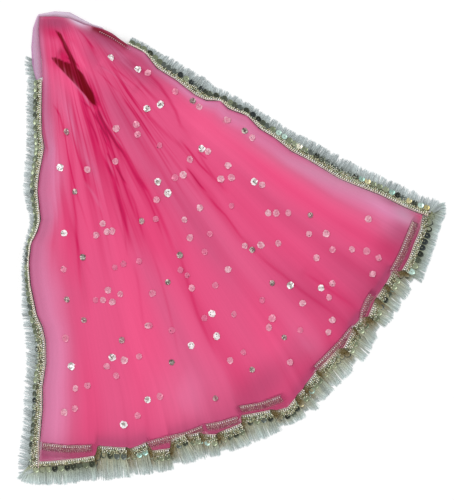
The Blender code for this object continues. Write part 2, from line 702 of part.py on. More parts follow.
def build_tucks():
    """The folded-under runs of braid at the corners and in the middle, flat under the face."""
    for tuck in TUCKS:
        share = np.linspace(0.0, 1.0, 7)
        theta = tuck.start + (tuck.end - tuck.start) * share
        radius = np.interp(share, np.linspace(0.0, 1.0, len(tuck.edge)), tuck.edge)
        sections = []
        for angle, distance in zip(theta, radius):
            inner, outer = fan_point(angle, distance), fan_point(angle, distance + BRAID_WIDTH)
            low, high = tuck.lift, tuck.lift + BRAID_WALL
            sections.append([(*inner, low), (*outer, low), (*outer, high), (*inner, high)])
        add_solid(f"braid_tuck_{tuck.name}", *tube(sections), "braid_tinted")


def build_loops():
    """The turned-back loop of net round the gathered corner, rounded on top and flat beneath."""
    sections = []
    for row in LOOPS:
        inner, outer = np.array([row.inner_x, row.inner_y]), np.array([row.outer_x, row.outer_y])
        foot = inner + LOOP_FOOT * (inner - outer) / np.linalg.norm(inner - outer)
        foot_height = min(LOOP_FOOT_HEIGHT, 0.5 * row.height)
        section = [(*foot, foot_height), (*foot, 0.0)]
        for share, level in LOOP_ROUND:
            spot = inner + share * (outer - inner)
            section.append((*spot, level * (row.height - foot_height) + foot_height if level else 0.0))
        sections.append(section)
    add_solid("net_loop", *tube(sections), "net_pale", 50.0)


def build_sides():
    left = np.array([(s.left_x, s.left_y) for s in SECTIONS if s.left_trim])
    left_trim = np.array([s.left_trim for s in SECTIONS if s.left_trim])
    right = np.array([(s.right_x, s.right_y) for s in SECTIONS if s.right_trim])
    right_trim = np.array([s.right_trim for s in SECTIONS if s.right_trim])
    left = np.concatenate([left, left[-1:] + [[0.0, -9.2]]])
    left_trim = np.append(left_trim, left_trim[-1])
    ahead = (right[-1] - right[-2]) / np.linalg.norm(right[-1] - right[-2])
    right = np.concatenate([right, right[-1:] + ahead * 8.5])
    right_trim = np.append(right_trim, right_trim[-1])
    outer, normal = edge_braid("braid_left", left, left_trim, -1.0)
    extra = np.array([[-297.6, 279.0], [-298.6, 266.0]])
    away = np.array([[-1.0, 0.0], [-1.0, 0.0]])
    outer, normal = np.concatenate([extra, outer]), np.concatenate([away, normal])
    reach = np.concatenate([[8.0, 8.0], left_trim - BRAID_WIDTH * np.clip(left_trim / TRIM_FLAT, 0.3, 1.0)])
    fringe("fringe_left", outer, normal, reach, np.zeros(len(outer)), -0.22)
    outer, normal = edge_braid("braid_right", right, right_trim, 1.0)
    reach = right_trim - BRAID_WIDTH * np.clip(right_trim / TRIM_FLAT, 0.3, 1.0)
    fringe("fringe_right", outer, normal, reach, np.zeros(len(outer)), 0.0)


def main():
    for obj in list(bpy.data.objects):
        bpy.data.objects.remove(obj, do_unlink=True)
    face = Face()
    net = build_face(face)
    build_underfolds(face, net)
    build_loops()
    build_sides()
    build_hem()
    build_tucks()


main()
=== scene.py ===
import math
import random

import bmesh
import bpy
import numpy as np
from mathutils import Matrix, Vector


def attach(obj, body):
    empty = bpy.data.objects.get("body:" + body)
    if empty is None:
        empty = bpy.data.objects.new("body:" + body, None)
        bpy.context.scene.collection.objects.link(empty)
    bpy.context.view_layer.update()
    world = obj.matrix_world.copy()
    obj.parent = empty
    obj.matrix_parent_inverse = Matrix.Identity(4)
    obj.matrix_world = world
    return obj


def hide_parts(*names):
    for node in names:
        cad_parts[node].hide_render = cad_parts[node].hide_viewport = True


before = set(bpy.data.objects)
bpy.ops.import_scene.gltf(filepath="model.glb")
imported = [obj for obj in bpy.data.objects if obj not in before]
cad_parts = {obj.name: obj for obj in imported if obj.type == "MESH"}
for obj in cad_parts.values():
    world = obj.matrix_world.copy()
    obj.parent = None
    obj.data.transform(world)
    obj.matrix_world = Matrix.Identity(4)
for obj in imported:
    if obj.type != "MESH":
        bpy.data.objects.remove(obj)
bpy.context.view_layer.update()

mm = 0.001
dice = random.Random(41)


def hexColour(code):
    parts = [int(code[k:k + 2], 16) / 255.0 for k in (1, 3, 5)]
    return [c / 12.92 if c <= 0.04045 else ((c + 0.055) / 1.055) ** 2.4 for c in parts] + [1.0]


def ease(value):
    value = np.clip(value, 0.0, 1.0)
    return value * value * (3.0 - 2.0 * value)


def bump(distance, width):
    # 1 on a line, falling to nothing about two widths from it
    return np.exp(-((distance / width) ** 2))


def toward(value, goal, share):
    return value + (goal - value) * share


def stepLengths(line):
    return np.linalg.norm(np.diff(line, axis=0), axis=1)


def lengthsAlong(line):
    return np.concatenate([[0.0], np.cumsum(stepLengths(line))])


def columnsAt(places, known, rows):
    # every column of a table, read between its known places
    return np.stack([np.interp(places, known, column) for column in np.transpose(rows)], axis=-1)


def nearestOn(x, y, start, end):
    # distance from points to a straight stretch, and how far along it the nearest place is
    step = end - start
    share = np.clip(((x - start[0]) * step[0] + (y - start[1]) * step[1]) / (step @ step), 0.0, 1.0)
    return np.hypot(x - start[0] - share * step[0], y - start[1] - share * step[1]), share


def addNode(tree, kind, settings=None, links=None):
    node = tree.nodes.new(kind)
    for name, value in (settings or {}).items():
        if name in node.inputs.keys():
            node.inputs[name].default_value = value
        else:
            setattr(node, name, value)
    for name, source in (links or {}).items():
        tree.links.new(source, node.inputs[name])
    return node


def newMaterial(name):
    material = bpy.data.materials.new(name)
    material.use_nodes = True
    return material, material.node_tree, material.node_tree.nodes["Principled BSDF"]


# where the cloth lies, in mm, as in the part
fan = {"x": -255.0, "y": 327.8, "start": 92.7, "radius": 640.0}
braidWidth = 10.5

# left x, left y, plan width of the left trim, right x, right y, plan width of the right trim
sections = [
    (-285.0, 347.3, 0.0, -187.5, 327.8, 0.0),
    (-286.5, 327.8, 0.0, -175.5, 321.8, 0.0),
    (-285.0, 305.3, 0.0, -165.0, 313.5, 0.0),
    (-282.0, 279.8, 0.0, -153.6, 305.2, 11.0),
    (-280.5, 252.8, 22.5, -127.6, 292.2, 12.0),
    (-281.5, 204.8, 23.2, -109.5, 269.2, 22.7),
    (-281.0, 173.3, 22.5, -80.2, 251.0, 23.9),
    (-277.5, 150.8, 26.4, -52.6, 229.5, 28.7),
    (-285.1, 110.2, 22.3, -35.9, 221.1, 25.0),
    (-287.5, 86.2, 21.0, -14.4, 220.4, 16.1),
    (-282.6, 42.8, 16.0, -3.0, 208.5, 21.5),
    (-287.5, 24.8, 14.8, 25.4, 198.1, 16.4),
    (-297.0, 6.8, 10.6, 43.3, 179.1, 22.5),
    (-300.1, -23.2, 11.5, 67.2, 164.7, 22.1),
    (-297.9, -53.2, 12.9, 91.2, 145.5, 27.0),
    (-288.6, -99.8, 21.9, 115.0, 133.6, 26.8),
    (-280.6, -117.8, 26.3, 139.0, 119.2, 27.5),
    (-276.0, -140.2, 29.1, 162.9, 104.8, 29.3),
    (-275.5, -173.2, 29.0, 194.0, 91.8, 27.2),
    (-280.6, -207.8, 26.4, 225.0, 79.8, 25.2),
    (-280.5, -239.3, 28.0, 243.0, 70.5, 26.0),
    (-283.0, -269.3, 27.0, 259.5, 62.3, 26.3),
    (-285.3, -294.8, 28.0, 273.8, 56.0, 26.6),
    (-286.4, -319.5, 30.0, 287.2, 51.1, 26.0),
]
topEdge = [
    (-285.0, 347.3), (-261.0, 347.3), (-240.0, 344.3), (-219.0, 335.3), (-202.5, 331.5), (-187.5, 327.8),
]

# pleats of the hem: start and end angle, inner edge of the braid, reach of the fringe at both ends, and
# its sequins as letters of sequinColours
pleats = [
    (92.70, 85.35, [648.0, 640.2], 684.0, 678.5, "ssdsdddsd"),
    (84.80, 81.00, [625.8, 633.8], 676.0, 677.0, "dddd"),
    (80.50, 78.20, [636.8, 632.0], 677.0, 678.0, "sm"),
    (77.60, 75.30, [645.6, 648.2], 678.5, 680.0, "ss"),
    (74.85, 72.80, [635.4, 633.9], 677.0, 675.5, "sd"),
    (72.30, 70.95, [636.6, 638.2], 675.5, 677.0, "s"),
    (70.50, 68.85, [642.6, 649.8], 677.5, 680.5, "ms"),
    (68.40, 65.25, [648.5, 648.9], 681.0, 682.0, "sdds"),
    (64.85, 61.05, [638.4, 650.7], 682.0, 685.5, "sdsdd"),
    (60.36, 57.50, [656.1, 660.9, 655.0], 685.0, 685.0, "ddd"),
    (57.10, 55.95, [653.2, 649.8], 685.0, 685.5, "cs"),
    (55.50, 53.20, [647.5, 639.8], 683.5, 677.0, "ms"),
    (52.70, 49.00, [639.5, 634.0], 676.0, 671.5, "ssdd"),
    (48.30, 45.75, [638.4, 627.8], 672.5, 666.5, "ssd"),
    (45.30, 43.60, [625.2, 625.3], 665.0, 660.0, "s"),
    (42.90, 40.70, [630.6, 622.2], 660.0, 660.0, "sd"),
    (40.20, 38.45, [621.3, 619.3], 657.0, 655.5, "dm"),
    (37.95, 35.80, [619.3, 616.2], 655.0, 653.5, "sd"),
    (35.10, 27.07, [626.4, 624.6, 619.8, 617.0, 609.8], 661.0, 641.0, "msddddddddsc"),
]
# pleats before this one lie over their right neighbour, and those after it over their left
lowestPleat = 12

# folds of the face: half width, height, tone from -1 dark to 1 bright as painted shade and highlight, and the
# line
folds = [
    (9.0, 4.5, 0.30, [(-277, 280), (-262, 245), (-243, 193), (-217, 148), (-200, 110)]),
    (9.0, -4.0, -0.42,
     [(-270, 230), (-255, 193), (-243, 163), (-237, 125), (-228, 58), (-219, -17), (-207, -122)]),
    (9.0, -3.0, -0.38,
     [(-217, 178), (-195, 140), (-180, 110), (-168, 80), (-157, 50), (-145, 13), (-135, -14)]),
    (9.0, -2.6, -0.36,
     [(-135, 118), (-120, 95), (-105, 80), (-75, 13), (-60, -62), (-37, -122), (-12, -179)]),
    (8.0, -3.5, -0.40,
     [(-157, 283), (-135, 260), (-112, 245), (-97, 227), (-78, 196), (-52, 163), (-45, 148)]),
    (8.0, -2.5, -0.34, [(-78, 163), (-52, 130), (-27, 110), (0, 80)]),
    (5.5, -3.2, -0.50,
     [(-64, 121), (-45, 92), (-7, 47), (15, 16), (37, -2), (67, -29), (105, -62), (172, -110)]),
    (9.0, 4.0, 0.25, [(-195, 278), (-165, 256), (-135, 238)]),
    (6.0, -3.0, -0.40, [(-217, 310), (-198, 289)]),
    (9.0, -13.0, -1.60, [(-258, 296), (-247, 286), (-237, 271), (-225, 253), (-210, 229), (-197, 205)]),
    (5.0, -4.0, -0.75, [(-197, 205), (-168, 155), (-153, 133), (-135, 110), (-120, 80)]),
    (7.0, 3.5, 0.15, [(-268, 285), (-252, 279), (-242, 268), (-228, 246), (-208, 219), (-196, 194)]),
    (7.0, 4.0, 0.30, [(-252, 320), (-240, 298), (-228, 280), (-214, 250), (-199, 215)]),
    (12.0, 2.5, 0.20, [(-60, 190), (-10, 150), (40, 105), (110, 60), (180, 20)]),
    (12.0, 2.0, 0.15, [(-170, 40), (-150, -60), (-135, -160), (-125, -250)]),
    (11.0, 2.0, 0.15, [(-100, 60), (-70, -40), (-45, -130), (-20, -210)]),
    (10.0, -2.0, -0.25, [(105, -32), (150, -60), (195, -92)]),
]


def fanPoint(theta, radius):
    angle = np.radians(theta)
    return np.stack([fan["x"] + radius * np.cos(angle), fan["y"] - radius * np.sin(angle)], axis=-1)


def arcOf(theta):
    return (fan["start"] - theta) * math.radians(fan["radius"])


def angleOf(arc):
    return fan["start"] - np.degrees(np.asarray(arc) / fan["radius"])


def edgeRadius(pleat, arc):
    return np.interp(arc, np.linspace(arcOf(pleat[0]), arcOf(pleat[1]), len(pleat[2])), pleat[2])


def alongLine(line, share):
    length = lengthsAlong(line)
    return columnsAt(share * length[-1], length, line)


def hemColumns():
    columns = []
    for k, pleat in enumerate(pleats):
        start, end = arcOf(pleat[0]), arcOf(pleat[1])
        highStart, highEnd = k > lowestPleat, k < lowestPleat
        first = start - 1.7 if highStart else start
        last = end + 1.7 if highEnd else end
        for place in np.linspace(first, last, 2 + int((end - start) / 8.0)):
            share = (place - first) / (last - first)
            rise = share if highEnd else 1.0 - share if highStart else 0.35 * math.sin(math.pi * share)
            columns.append((place, float(edgeRadius(pleat, place)) - 0.6, rise))
    return np.array(columns)


def withoutWaves(points, reach):
    out = np.array(points, float)
    for k in range(len(points)):
        span = min(k, len(points) - 1 - k, reach)
        out[k] = np.mean(points[k - span:k + span + 1], axis=0)
    return out


def riseOf(trim):
    # height of the net's edge above the fringe's foot: a trim that looks narrow from above slopes steeply
    spread = np.clip(np.asarray(trim) / 30.0, 0.3, 1.0)
    return braidWidth * np.sqrt(1.0 - spread * spread)


sectionTable = np.array(sections)
leftLine, rightLine = sectionTable[:, 0:2], sectionTable[:, 3:5]
leftMean, rightMean = withoutWaves(leftLine, 5), withoutWaves(rightLine, 3)
sectionSteps = 0.5 * (stepLengths(leftLine) + stepLengths(rightLine))
clothDepth = float(sectionSteps.sum())
sectionV = np.concatenate([[0.0], np.cumsum(sectionSteps)]) / clothDepth
leftRise = np.where(sectionTable[:, 2] > 0, riseOf(sectionTable[:, 2]), 2.0)
rightRise = np.where(sectionTable[:, 5] > 0, riseOf(sectionTable[:, 5]), 2.0)
columnTable = hemColumns()
hemLength = columnTable[-1, 0]


def faceSpot(u, v):
    # plan position in mm of a share across and a share down the fan
    u, v = np.asarray(u, float), np.asarray(v, float)

    def at(line):
        return columnsAt(v, sectionV, line)

    low, high = at(leftMean), at(rightMean)
    radius = np.interp(u * hemLength, columnTable[:, 0], columnTable[:, 1])
    theta = angleOf(u * hemLength)
    first, last = columnTable[0, 1], columnTable[-1, 1]
    hem = fanPoint(theta, radius)
    hemMean = fanPoint(theta, first + (last - first) * u - 104.0 * u * u * (u - 1.0))
    uu, vv = u[..., None], v[..., None]
    topLine = (1 - uu) * leftMean[0] + uu * rightMean[0]
    lowLine = (1 - uu) * leftMean[-1] + uu * rightMean[-1]
    corners = (1 - vv) * topLine + vv * lowLine
    spot = (1 - uu) * low + uu * high + (1 - vv) * alongLine(topEdge, u) + vv * hemMean - corners
    nearLeft, nearRight = 1 - ease(uu / 0.14), 1 - ease((1 - uu) / 0.14)
    spot = spot + nearLeft * (at(leftLine) - low) + nearRight * (at(rightLine) - high)
    return spot + ease((vv - sectionV[-3]) / (1 - sectionV[-3])) * (hem - hemMean)


widthAt = np.linspace(0, 1, 101)
widthTable = 1.06 * np.linalg.norm(faceSpot(np.ones(101), widthAt) - faceSpot(np.zeros(101), widthAt), axis=1)


def distances(u, v):
    across = np.interp(v, widthAt, widthTable)
    return u * across, (1.0 - u) * across, v * clothDepth, (1.0 - v) * clothDepth


def foldField(x, y, column, rows=folds, tails=(0.12, 0.16)):
    # sum of all folds at points, as one column of their table; the tails fade in and out
    total = np.zeros_like(x)
    for fold in rows:
        line = np.asarray(fold[3], float)
        length = lengthsAlong(line)
        best, place = np.full_like(x, 1e9), np.zeros_like(x)
        for k in range(len(line) - 1):
            near, share = nearestOn(x, y, line[k], line[k + 1])
            closer = near < best
            best = np.where(closer, near, best)
            place = np.where(closer, length[k] + share * (length[k + 1] - length[k]), place)
        whole = length[-1]
        ends = ease((place + 2.0) / (tails[0] * whole)) * ease((whole - place + 2.0) / (tails[1] * whole))
        total += fold[column] * ends * bump(best, fold[0])
    return total


def faceHeight(u, v):
    # underside of the face in mm: the pile of layers, its folds, and the lifted sides, top and pleats
    fromLeft, fromRight, fromTop, fromHem = distances(u, v)
    spot = faceSpot(u, v)
    pile = np.interp(v, [0.0, 0.1, 0.22, 0.4, 0.7, 1.0], [15.0, 16.0, 12.5, 9.5, 8.0, 7.5])
    pile = pile * ease(fromLeft / 66.0) * ease(fromRight / 58.0) * ease(fromHem / 62.0)
    pile = pile * (0.12 + 0.88 * ease(fromTop / 34.0))
    mask = ease(fromLeft / 26.0) * ease(fromRight / 26.0) * ease(fromHem / 44.0) * ease(fromTop / 22.0)
    relief = 0.55 * mask * foldField(spot[..., 0], spot[..., 1], 1)
    lift = 0.3 + 1.3 * (1.0 - ease(fromHem / 90.0))
    side = np.interp(v, sectionV, leftRise) * bump(fromLeft, 13.0)
    side = np.maximum(side, np.interp(v, sectionV, rightRise) * bump(fromRight, 13.0))
    lift = lift + np.maximum(side, 2.0 * bump(fromTop, 13.0))
    rise = np.interp(u * hemLength, columnTable[:, 0], columnTable[:, 2])
    lift = lift + 1.4 * rise * bump(fromHem, 38.0)
    return lift + np.maximum(0.0, pile + np.maximum(relief, -0.75 * pile))


def gridPiece(name, columns, rows, place, material):
    # a grid of cells taken through place(u, v), which gives metres; u and v stay as its UV map
    bm = bmesh.new()
    bmesh.ops.create_grid(bm, x_segments=columns, y_segments=rows, size=0.5, calc_uvs=False)
    layer = bm.loops.layers.uv.new("UVMap")
    for face in bm.faces:
        for loop in face.loops:
            loop[layer].uv = (loop.vert.co.x + 0.5, loop.vert.co.y + 0.5)
    mesh = bpy.data.meshes.new(name)
    bm.to_mesh(mesh)
    bm.free()
    spots = np.empty(len(mesh.vertices) * 3)
    mesh.vertices.foreach_get("co", spots)
    spots = spots.reshape(-1, 3)
    u, v = np.clip(spots[:, 0] + 0.5, 0, 1), np.clip(spots[:, 1] + 0.5, 0, 1)
    mesh.vertices.foreach_set("co", place(u, v).ravel())
    mesh.update()
    if mesh.polygons[len(mesh.polygons) // 2].normal.z < 0:
        mesh.flip_normals()
    for face in mesh.polygons:
        face.use_smooth = True
    mesh.materials.append(material)
    piece = bpy.data.objects.new(name, mesh)
    bpy.context.scene.collection.objects.link(piece)
    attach(piece, "root")
    return piece, u, v


def paint(piece, colours):
    # one colour, painted light and shade included, and a see-through share for each point, read by the
    # materials from this colour attribute
    layer = piece.data.color_attributes.new("colourAndShade", "FLOAT_COLOR", "POINT")
    layer.data.foreach_set("color", np.clip(colours, 0.0, 1.0).astype(np.float32).ravel())


def rgba(code):
    return np.array(hexColour(code))


def rgb(code):
    return rgba(code)[:3]


def template(make, *args, **settings):
    # points and faces of a small shape that a bmesh operator makes
    bm = bmesh.new()
    make(bm, *args, **settings)
    bm.verts.ensure_lookup_table()
    points = np.array([vert.co for vert in bm.verts])
    faces = [[vert.index for vert in face.verts] for face in bm.faces]
    bm.free()
    return points, faces


def copies(shape, frames, colours):
    # the shape in every frame (3 axes as rows, scaled, and a place), each copy with its own colour
    points, faces = shape
    axes, places = np.asarray(frames[0], float), np.asarray(frames[1], float)
    spots = np.einsum("pk,nkj->npj", points, axes) + places[:, None, :]
    count = len(points)
    allFaces = [[corner + count * k for corner in face] for k in range(len(places)) for face in faces]
    colourAndShade = np.repeat(np.asarray(colours, float), count, axis=0)
    return spots.reshape(-1, 3), allFaces, colourAndShade


def joined(name, groups, material, smooth=True):
    points, faces, colourAndShade, start = [], [], [], 0
    for spots, group, colours in groups:
        points.append(spots)
        faces += [[corner + start for corner in face] for face in group]
        colourAndShade.append(colours)
        start += len(spots)
    mesh = bpy.data.meshes.new(name)
    mesh.from_pydata(np.concatenate(points) * mm, [], faces)
    mesh.validate()
    for face in mesh.polygons:
        face.use_smooth = smooth
    mesh.materials.append(material)
    piece = bpy.data.objects.new(name, mesh)
    bpy.context.scene.collection.objects.link(piece)
    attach(piece, "root")
    paint(piece, np.concatenate(colourAndShade))
    return piece


def sweep(rings, colours):
    # a closed skin through rings of points, capped at its ends; colours has one row per ring point
    rings = np.asarray(rings, float)
    count, around = rings.shape[:2]
    faces = []
    for k in range(count - 1):
        for s in range(around):
            t = (s + 1) % around
            faces.append([k * around + s, (k + 1) * around + s, (k + 1) * around + t, k * around + t])
    faces.append(list(range(around)))
    faces.append(list(reversed(range((count - 1) * around, count * around))))
    points = rings.reshape(-1, 3)
    volume = 0.0
    for face in faces:
        for k in range(1, len(face) - 1):
            volume += float(points[face[0]] @ np.cross(points[face[k]], points[face[k + 1]]))
    if volume < 0:
        faces = [face[::-1] for face in faces]
    return points, faces, np.asarray(colours, float).reshape(-1, 4)


def unit(vectors):
    return vectors / np.maximum(1e-9, np.linalg.norm(vectors, axis=-1, keepdims=True))


# the colours of the net: one layer, two or three, and many; painted highlight and painted shade of its folds,
# the slit's painted shadow, painted dull shade by the trim, and lilac and mauve where one layer stands alone
tint = {
    "single": rgb("#e590ba"), "double": rgb("#dc608b"), "many": rgb("#e84a7d"), "highlight": rgb("#ff6d9c"),
    "deepShade": rgb("#cf1f5c"), "darkShade": rgb("#8a0f38"), "slitShadow": rgb("#6e000c"),
    "dullShade": rgb("#a5466b"), "lilac": rgb("#d9c4dc"), "mauve": rgb("#c48db6"), "mauveEdge": rgb("#a97aa0"),
}

# fine creases and lit edges: half width, tone as painted shade below 0 and painted highlight above 0, change
# of layers, and the line
creases = [
    (4.3, -0.90, 0.20, [(-234, 270), (-225, 256), (-216, 240), (-207, 226), (-201, 215)]),
    (1.4, -0.95, 0.00, [(-200, 212), (-190, 191), (-177, 167), (-162, 145), (-153, 130)]),
    (3.2, -0.40, 0.10, [(-153, 130), (-138, 106), (-123, 86), (-105, 50), (-90, 13), (-78, -25)]),
    (1.3, -0.40, 0.00, [(-225, 223), (-210, 211), (-198, 191), (-183, 167), (-171, 148)]),
    (2.8, -0.55, 0.10,
     [(-195, 151), (-183, 124), (-172, 103), (-165, 73), (-158, 50), (-153, 20), (-146, -13)]),
    (1.1, -0.55, 0.00, [(-172, 125), (-162, 107), (-153, 94)]),
    (1.1, -0.45, 0.00, [(-183, 142), (-176, 128)]),
    (1.5, -0.42, 0.00, [(-266, 218), (-255, 200), (-250, 181), (-246, 160)]),
    (2.2, -0.32, 0.10,
     [(-246, 160), (-240, 125), (-236, 88), (-231, 50), (-228, 5), (-225, -40), (-219, -92)]),
    (2.6, -0.50, 0.00,
     [(-154, 287), (-140, 271), (-120, 260), (-105, 244), (-90, 221), (-81, 205), (-74, 184), (-63, 172),
      (-51, 158)]),
    (2.2, -0.32, 0.00, [(-165, 230), (-150, 211), (-135, 193), (-120, 170), (-108, 151)]),
    (2.6, -0.28, 0.00, [(-135, 226), (-120, 196), (-105, 181), (-87, 163), (-66, 145)]),
    (1.1, -0.65, 0.00, [(-66, 122), (-56, 110), (-45, 95), (-34, 83)]),
    (1.5, -0.50, 0.00, [(-75, 163), (-60, 145), (-45, 125), (-30, 110), (-20, 95)]),
    (1.1, -0.45, 0.00, [(-48, 145), (-34, 133)]),
    (1.3, -0.30, -0.20, [(-282, 211), (-278, 178), (-273, 148), (-276, 124)]),
    (1.3, -0.55, 0.00, [(-246, 287), (-234, 280), (-222, 268)]),
    (1.4, -0.80, 0.00, [(-264, 328), (-255, 317), (-248, 301), (-237, 283), (-231, 274)]),
    (1.3, -0.50, 0.00, [(-231, 331), (-219, 319), (-210, 308), (-201, 290)]),
    (1.1, -0.40, 0.00, [(-213, 310), (-202, 298)]),
    (1.3, -0.35, 0.00, [(-204, 277), (-186, 268), (-168, 256), (-150, 241), (-135, 227)]),
    (1.1, -0.30, 0.00, [(-201, 268), (-180, 247), (-162, 229)]),
    (1.1, -0.35, 0.00, [(-180, 274), (-156, 256), (-132, 235), (-117, 217)]),
    (1.7, -0.35, 0.00, [(-202, 328), (-176, 305), (-154, 287)]),
    (1.1, -0.30, 0.00, [(-195, 181), (-186, 160), (-177, 145)]),
    (1.1, -0.30, 0.00, [(-219, 250), (-207, 226), (-189, 208)]),
    (1.3, -0.30, 0.00, [(-213, 196), (-201, 172), (-194, 151)]),
    (1.1, -0.30, 0.00, [(-204, 208), (-192, 181), (-180, 154)]),
    (1.5, -0.28, 0.00, [(-153, 94), (-141, 65), (-134, 35), (-126, 5)]),
    (1.3, -0.25, 0.00, [(-168, 79), (-162, 50), (-156, 13), (-153, -20)]),
    (1.3, -0.30, 0.00, [(-135, 100), (-120, 70), (-108, 40), (-96, 4)]),
    (1.5, -0.32, 0.00, [(-36, 83), (-21, 64), (-6, 49), (15, 19), (33, 1)]),
    (1.7, -0.30, 0.00, [(-51, 148), (-36, 124), (-24, 106), (0, 79)]),
    (2.2, -0.25, 0.00, [(30, 2), (54, -20), (81, -41), (108, -64), (135, -83), (165, -104), (183, -121)]),
    (2.4, -0.22, 0.00, [(105, -32), (135, -52), (165, -73), (195, -94)]),
    (2.6, -0.25, 0.00, [(-90, 13), (-72, -20), (-60, -62), (-48, -100), (-33, -134), (-12, -179)]),
    (2.2, -0.22, 0.00, [(-146, -13), (-138, -47), (-132, -92), (-126, -145)]),
    (1.7, -0.20, 0.00, [(-120, 5), (-105, -40), (-93, -85), (-81, -137), (-72, -185)]),
    (7.0, 0.10, -0.30,
     [(-252, 245), (-243, 223), (-237, 193), (-228, 163), (-218, 136), (-202, 113), (-192, 88), (-184, 64)]),
    (9.0, 0.00, -0.28, [(-267, 235), (-266, 178), (-264, 118), (-262, 58), (-260, -2)]),
    (2.4, 0.60, -0.35, [(-263, 281), (-249, 268), (-234, 250), (-219, 230), (-207, 211), (-198, 193)]),
    (2.1, 0.30, -0.10, [(-243, 319), (-231, 298), (-222, 280), (-210, 262), (-201, 241)]),
    (1.5, 0.35, -0.20, [(-195, 208), (-189, 196), (-177, 176), (-162, 154), (-150, 136)]),
    (1.8, 0.30, -0.20, [(-198, 274), (-177, 262), (-156, 247), (-141, 232)]),
    (1.8, 0.30, -0.20, [(-168, 286), (-147, 268), (-126, 247), (-111, 229)]),
    (2.1, 0.25, -0.30, [(-189, 145), (-177, 118), (-168, 94), (-156, 64)]),
    (2.4, 0.25, -0.20, [(-219, 103), (-201, 76), (-189, 52)]),
]

# the opening between the two lips of the gathered corner, where its shadow is painted dark
slitEdge = [
    (-268, 287), (-258, 285), (-246, 279), (-239, 278), (-242, 287), (-247, 298), (-250, 307), (-257, 318),
    (-262, 327), (-253, 322), (-246, 309), (-241, 299), (-236, 289), (-231, 280), (-228, 269), (-219, 260),
    (-212, 246), (-204, 232), (-200, 213), (-207, 217), (-218, 231), (-236, 250), (-254, 269), (-265, 281),
]

# where the net is one layer only: share of the way from top to hem, plain strip, and its soft edge in mm
leftMargin = [
    (0.0, 0, 10), (0.2, 0, 20), (0.35, 0, 30), (0.5, 1, 44), (0.62, 5, 70), (0.75, 6, 70),
    (0.88, 9, 66), (1.0, 9, 66),
]
rightMargin = [
    (0.0, 0, 10), (0.18, 0, 18), (0.3, 1, 30), (0.45, 2, 46), (0.6, 3, 50), (0.8, 5, 58), (1.0, 8, 70),
]

# broad washes: x, y, half length, half width, turn, change of layers, change of tone as painted light and
# shade
washes = [
    (-38, 185, 75, 26, -40, 0.10, 0.30),
    (105, 73, 90, 30, -36, 0.10, 0.10),
    (-200, -122, 130, 27, -86, 0.10, 0.10),
    (-142, -152, 105, 21, -82, 0.10, 0.08),
    (-75, -227, 50, 30, -75, -0.38, 0.14),
    (-15, -197, 60, 26, -62, -0.15, -0.03),
    (42, -200, 40, 36, -50, -0.10, -0.12),
    (105, -152, 36, 30, -45, -0.25, 0.00),
    (138, -77, 51, 26, -38, 0.00, -0.18),
    (183, -20, 45, 24, -35, 0.00, -0.10),
    (237, 7, 27, 27, -35, -0.25, -0.20),
    (249, 62, 40, 15, -28, -0.45, 0.10),
    (-162, 193, 50, 27, -55, -0.20, -0.12),
    (-120, 118, 60, 21, -55, -0.15, -0.08),
    (-38, 20, 111, 21, -57, -0.28, -0.03),
    (-120, 13, 69, 15, -68, 0.20, -0.12),
    (-255, 286, 27, 20, -60, 0.00, -0.30),
    (-267, 332, 33, 16, 0, -0.10, -0.25),
    (-177, 298, 51, 12, -35, -0.45, -0.05),
    (-219, 277, 21, 10, -60, 0.20, 0.18),
    (-237, 241, 42, 8, -55, 0.10, 0.16),
    (-213, 35, 45, 14, -88, 0.10, 0.06),
    (60, 103, 60, 21, -38, 0.05, 0.06),
    (15, -122, 75, 21, -58, -0.12, -0.04),
    (-232, 178, 51, 9, -70, -0.10, -0.05),
    (-258, 229, 30, 12, -80, -0.20, 0.00),
    (-254, 105, 42, 9, -88, -0.30, 0.16),
]

# patches of painted dull shade, of the deep painted crease shade, and of lilac where one layer lies alone: x,
# y, half length, half width, turn, amount
patches = {
    "dullShade": [
        (-262, 338, 34, 16, 0, 0.85), (-195, 318, 62, 15, -30, 0.80), (-135, 281, 52, 12, -36, 0.45),
        (120, -70, 85, 30, -40, 0.30), (175, -40, 60, 34, -36, 0.28), (100, 45, 110, 26, -34, 0.12),
        (-205, 285, 22, 12, -60, 0.42), (-145, 272, 62, 17, -37, 0.50), (172, 98, 100, 14, -22, 0.18),
        (255, 25, 20, 20, -60, 0.35), (-286, 245, 42, 8, -88, 0.50), (48, -206, 66, 26, 36, 0.45),
        (20, -262, 60, 14, 25, 0.45), (250, 66, 36, 7, -26, 0.80), (262, 56, 26, 12, -28, 0.55),
        (-45, 20, 120, 16, -57, 0.22), (-165, 205, 60, 14, -55, 0.25),
    ],
    "deepShade": [
        (-264, 322, 14, 8, -30, 0.75), (-238, 311, 9, 4, -50, 0.30), (-207, 300, 18, 4, -58, 0.40),
        (-262, 276, 9, 5, -40, 0.35),
    ],
    "lilac": [
        (-228, 341, 17, 6.5, -30, 1.0), (172, 98, 100, 13, -22, 0.24), (262, 50, 26, 11, -40, 0.35),
    ],
}

# painted shade of the net wrapped round the end of the right braid, in the same form as the folds
wrapShade = [(6.0, 0.85, 0, [(-209, 332), (-191, 324), (-175, 316), (-163, 308), (-150, 299)])]


def slitShade(x, y):
    # 1 inside the opening, 0 outside, soft at its edge
    corners = np.array(slitEdge, float)
    inside = np.zeros(x.shape, bool)
    near = np.full(x.shape, 1e9)
    for k, start in enumerate(corners):
        end = corners[(k + 1) % len(corners)]
        near = np.minimum(near, nearestOn(x, y, start, end)[0])
        rise = end[1] - start[1]
        crosses = (start[1] > y) != (end[1] > y)
        inside ^= crosses & (x < start[0] + (y - start[1]) * (end[0] - start[0]) / (rise if rise else 1e-9))
    return ease(0.5 + np.where(inside, near, -near) / 2.6)


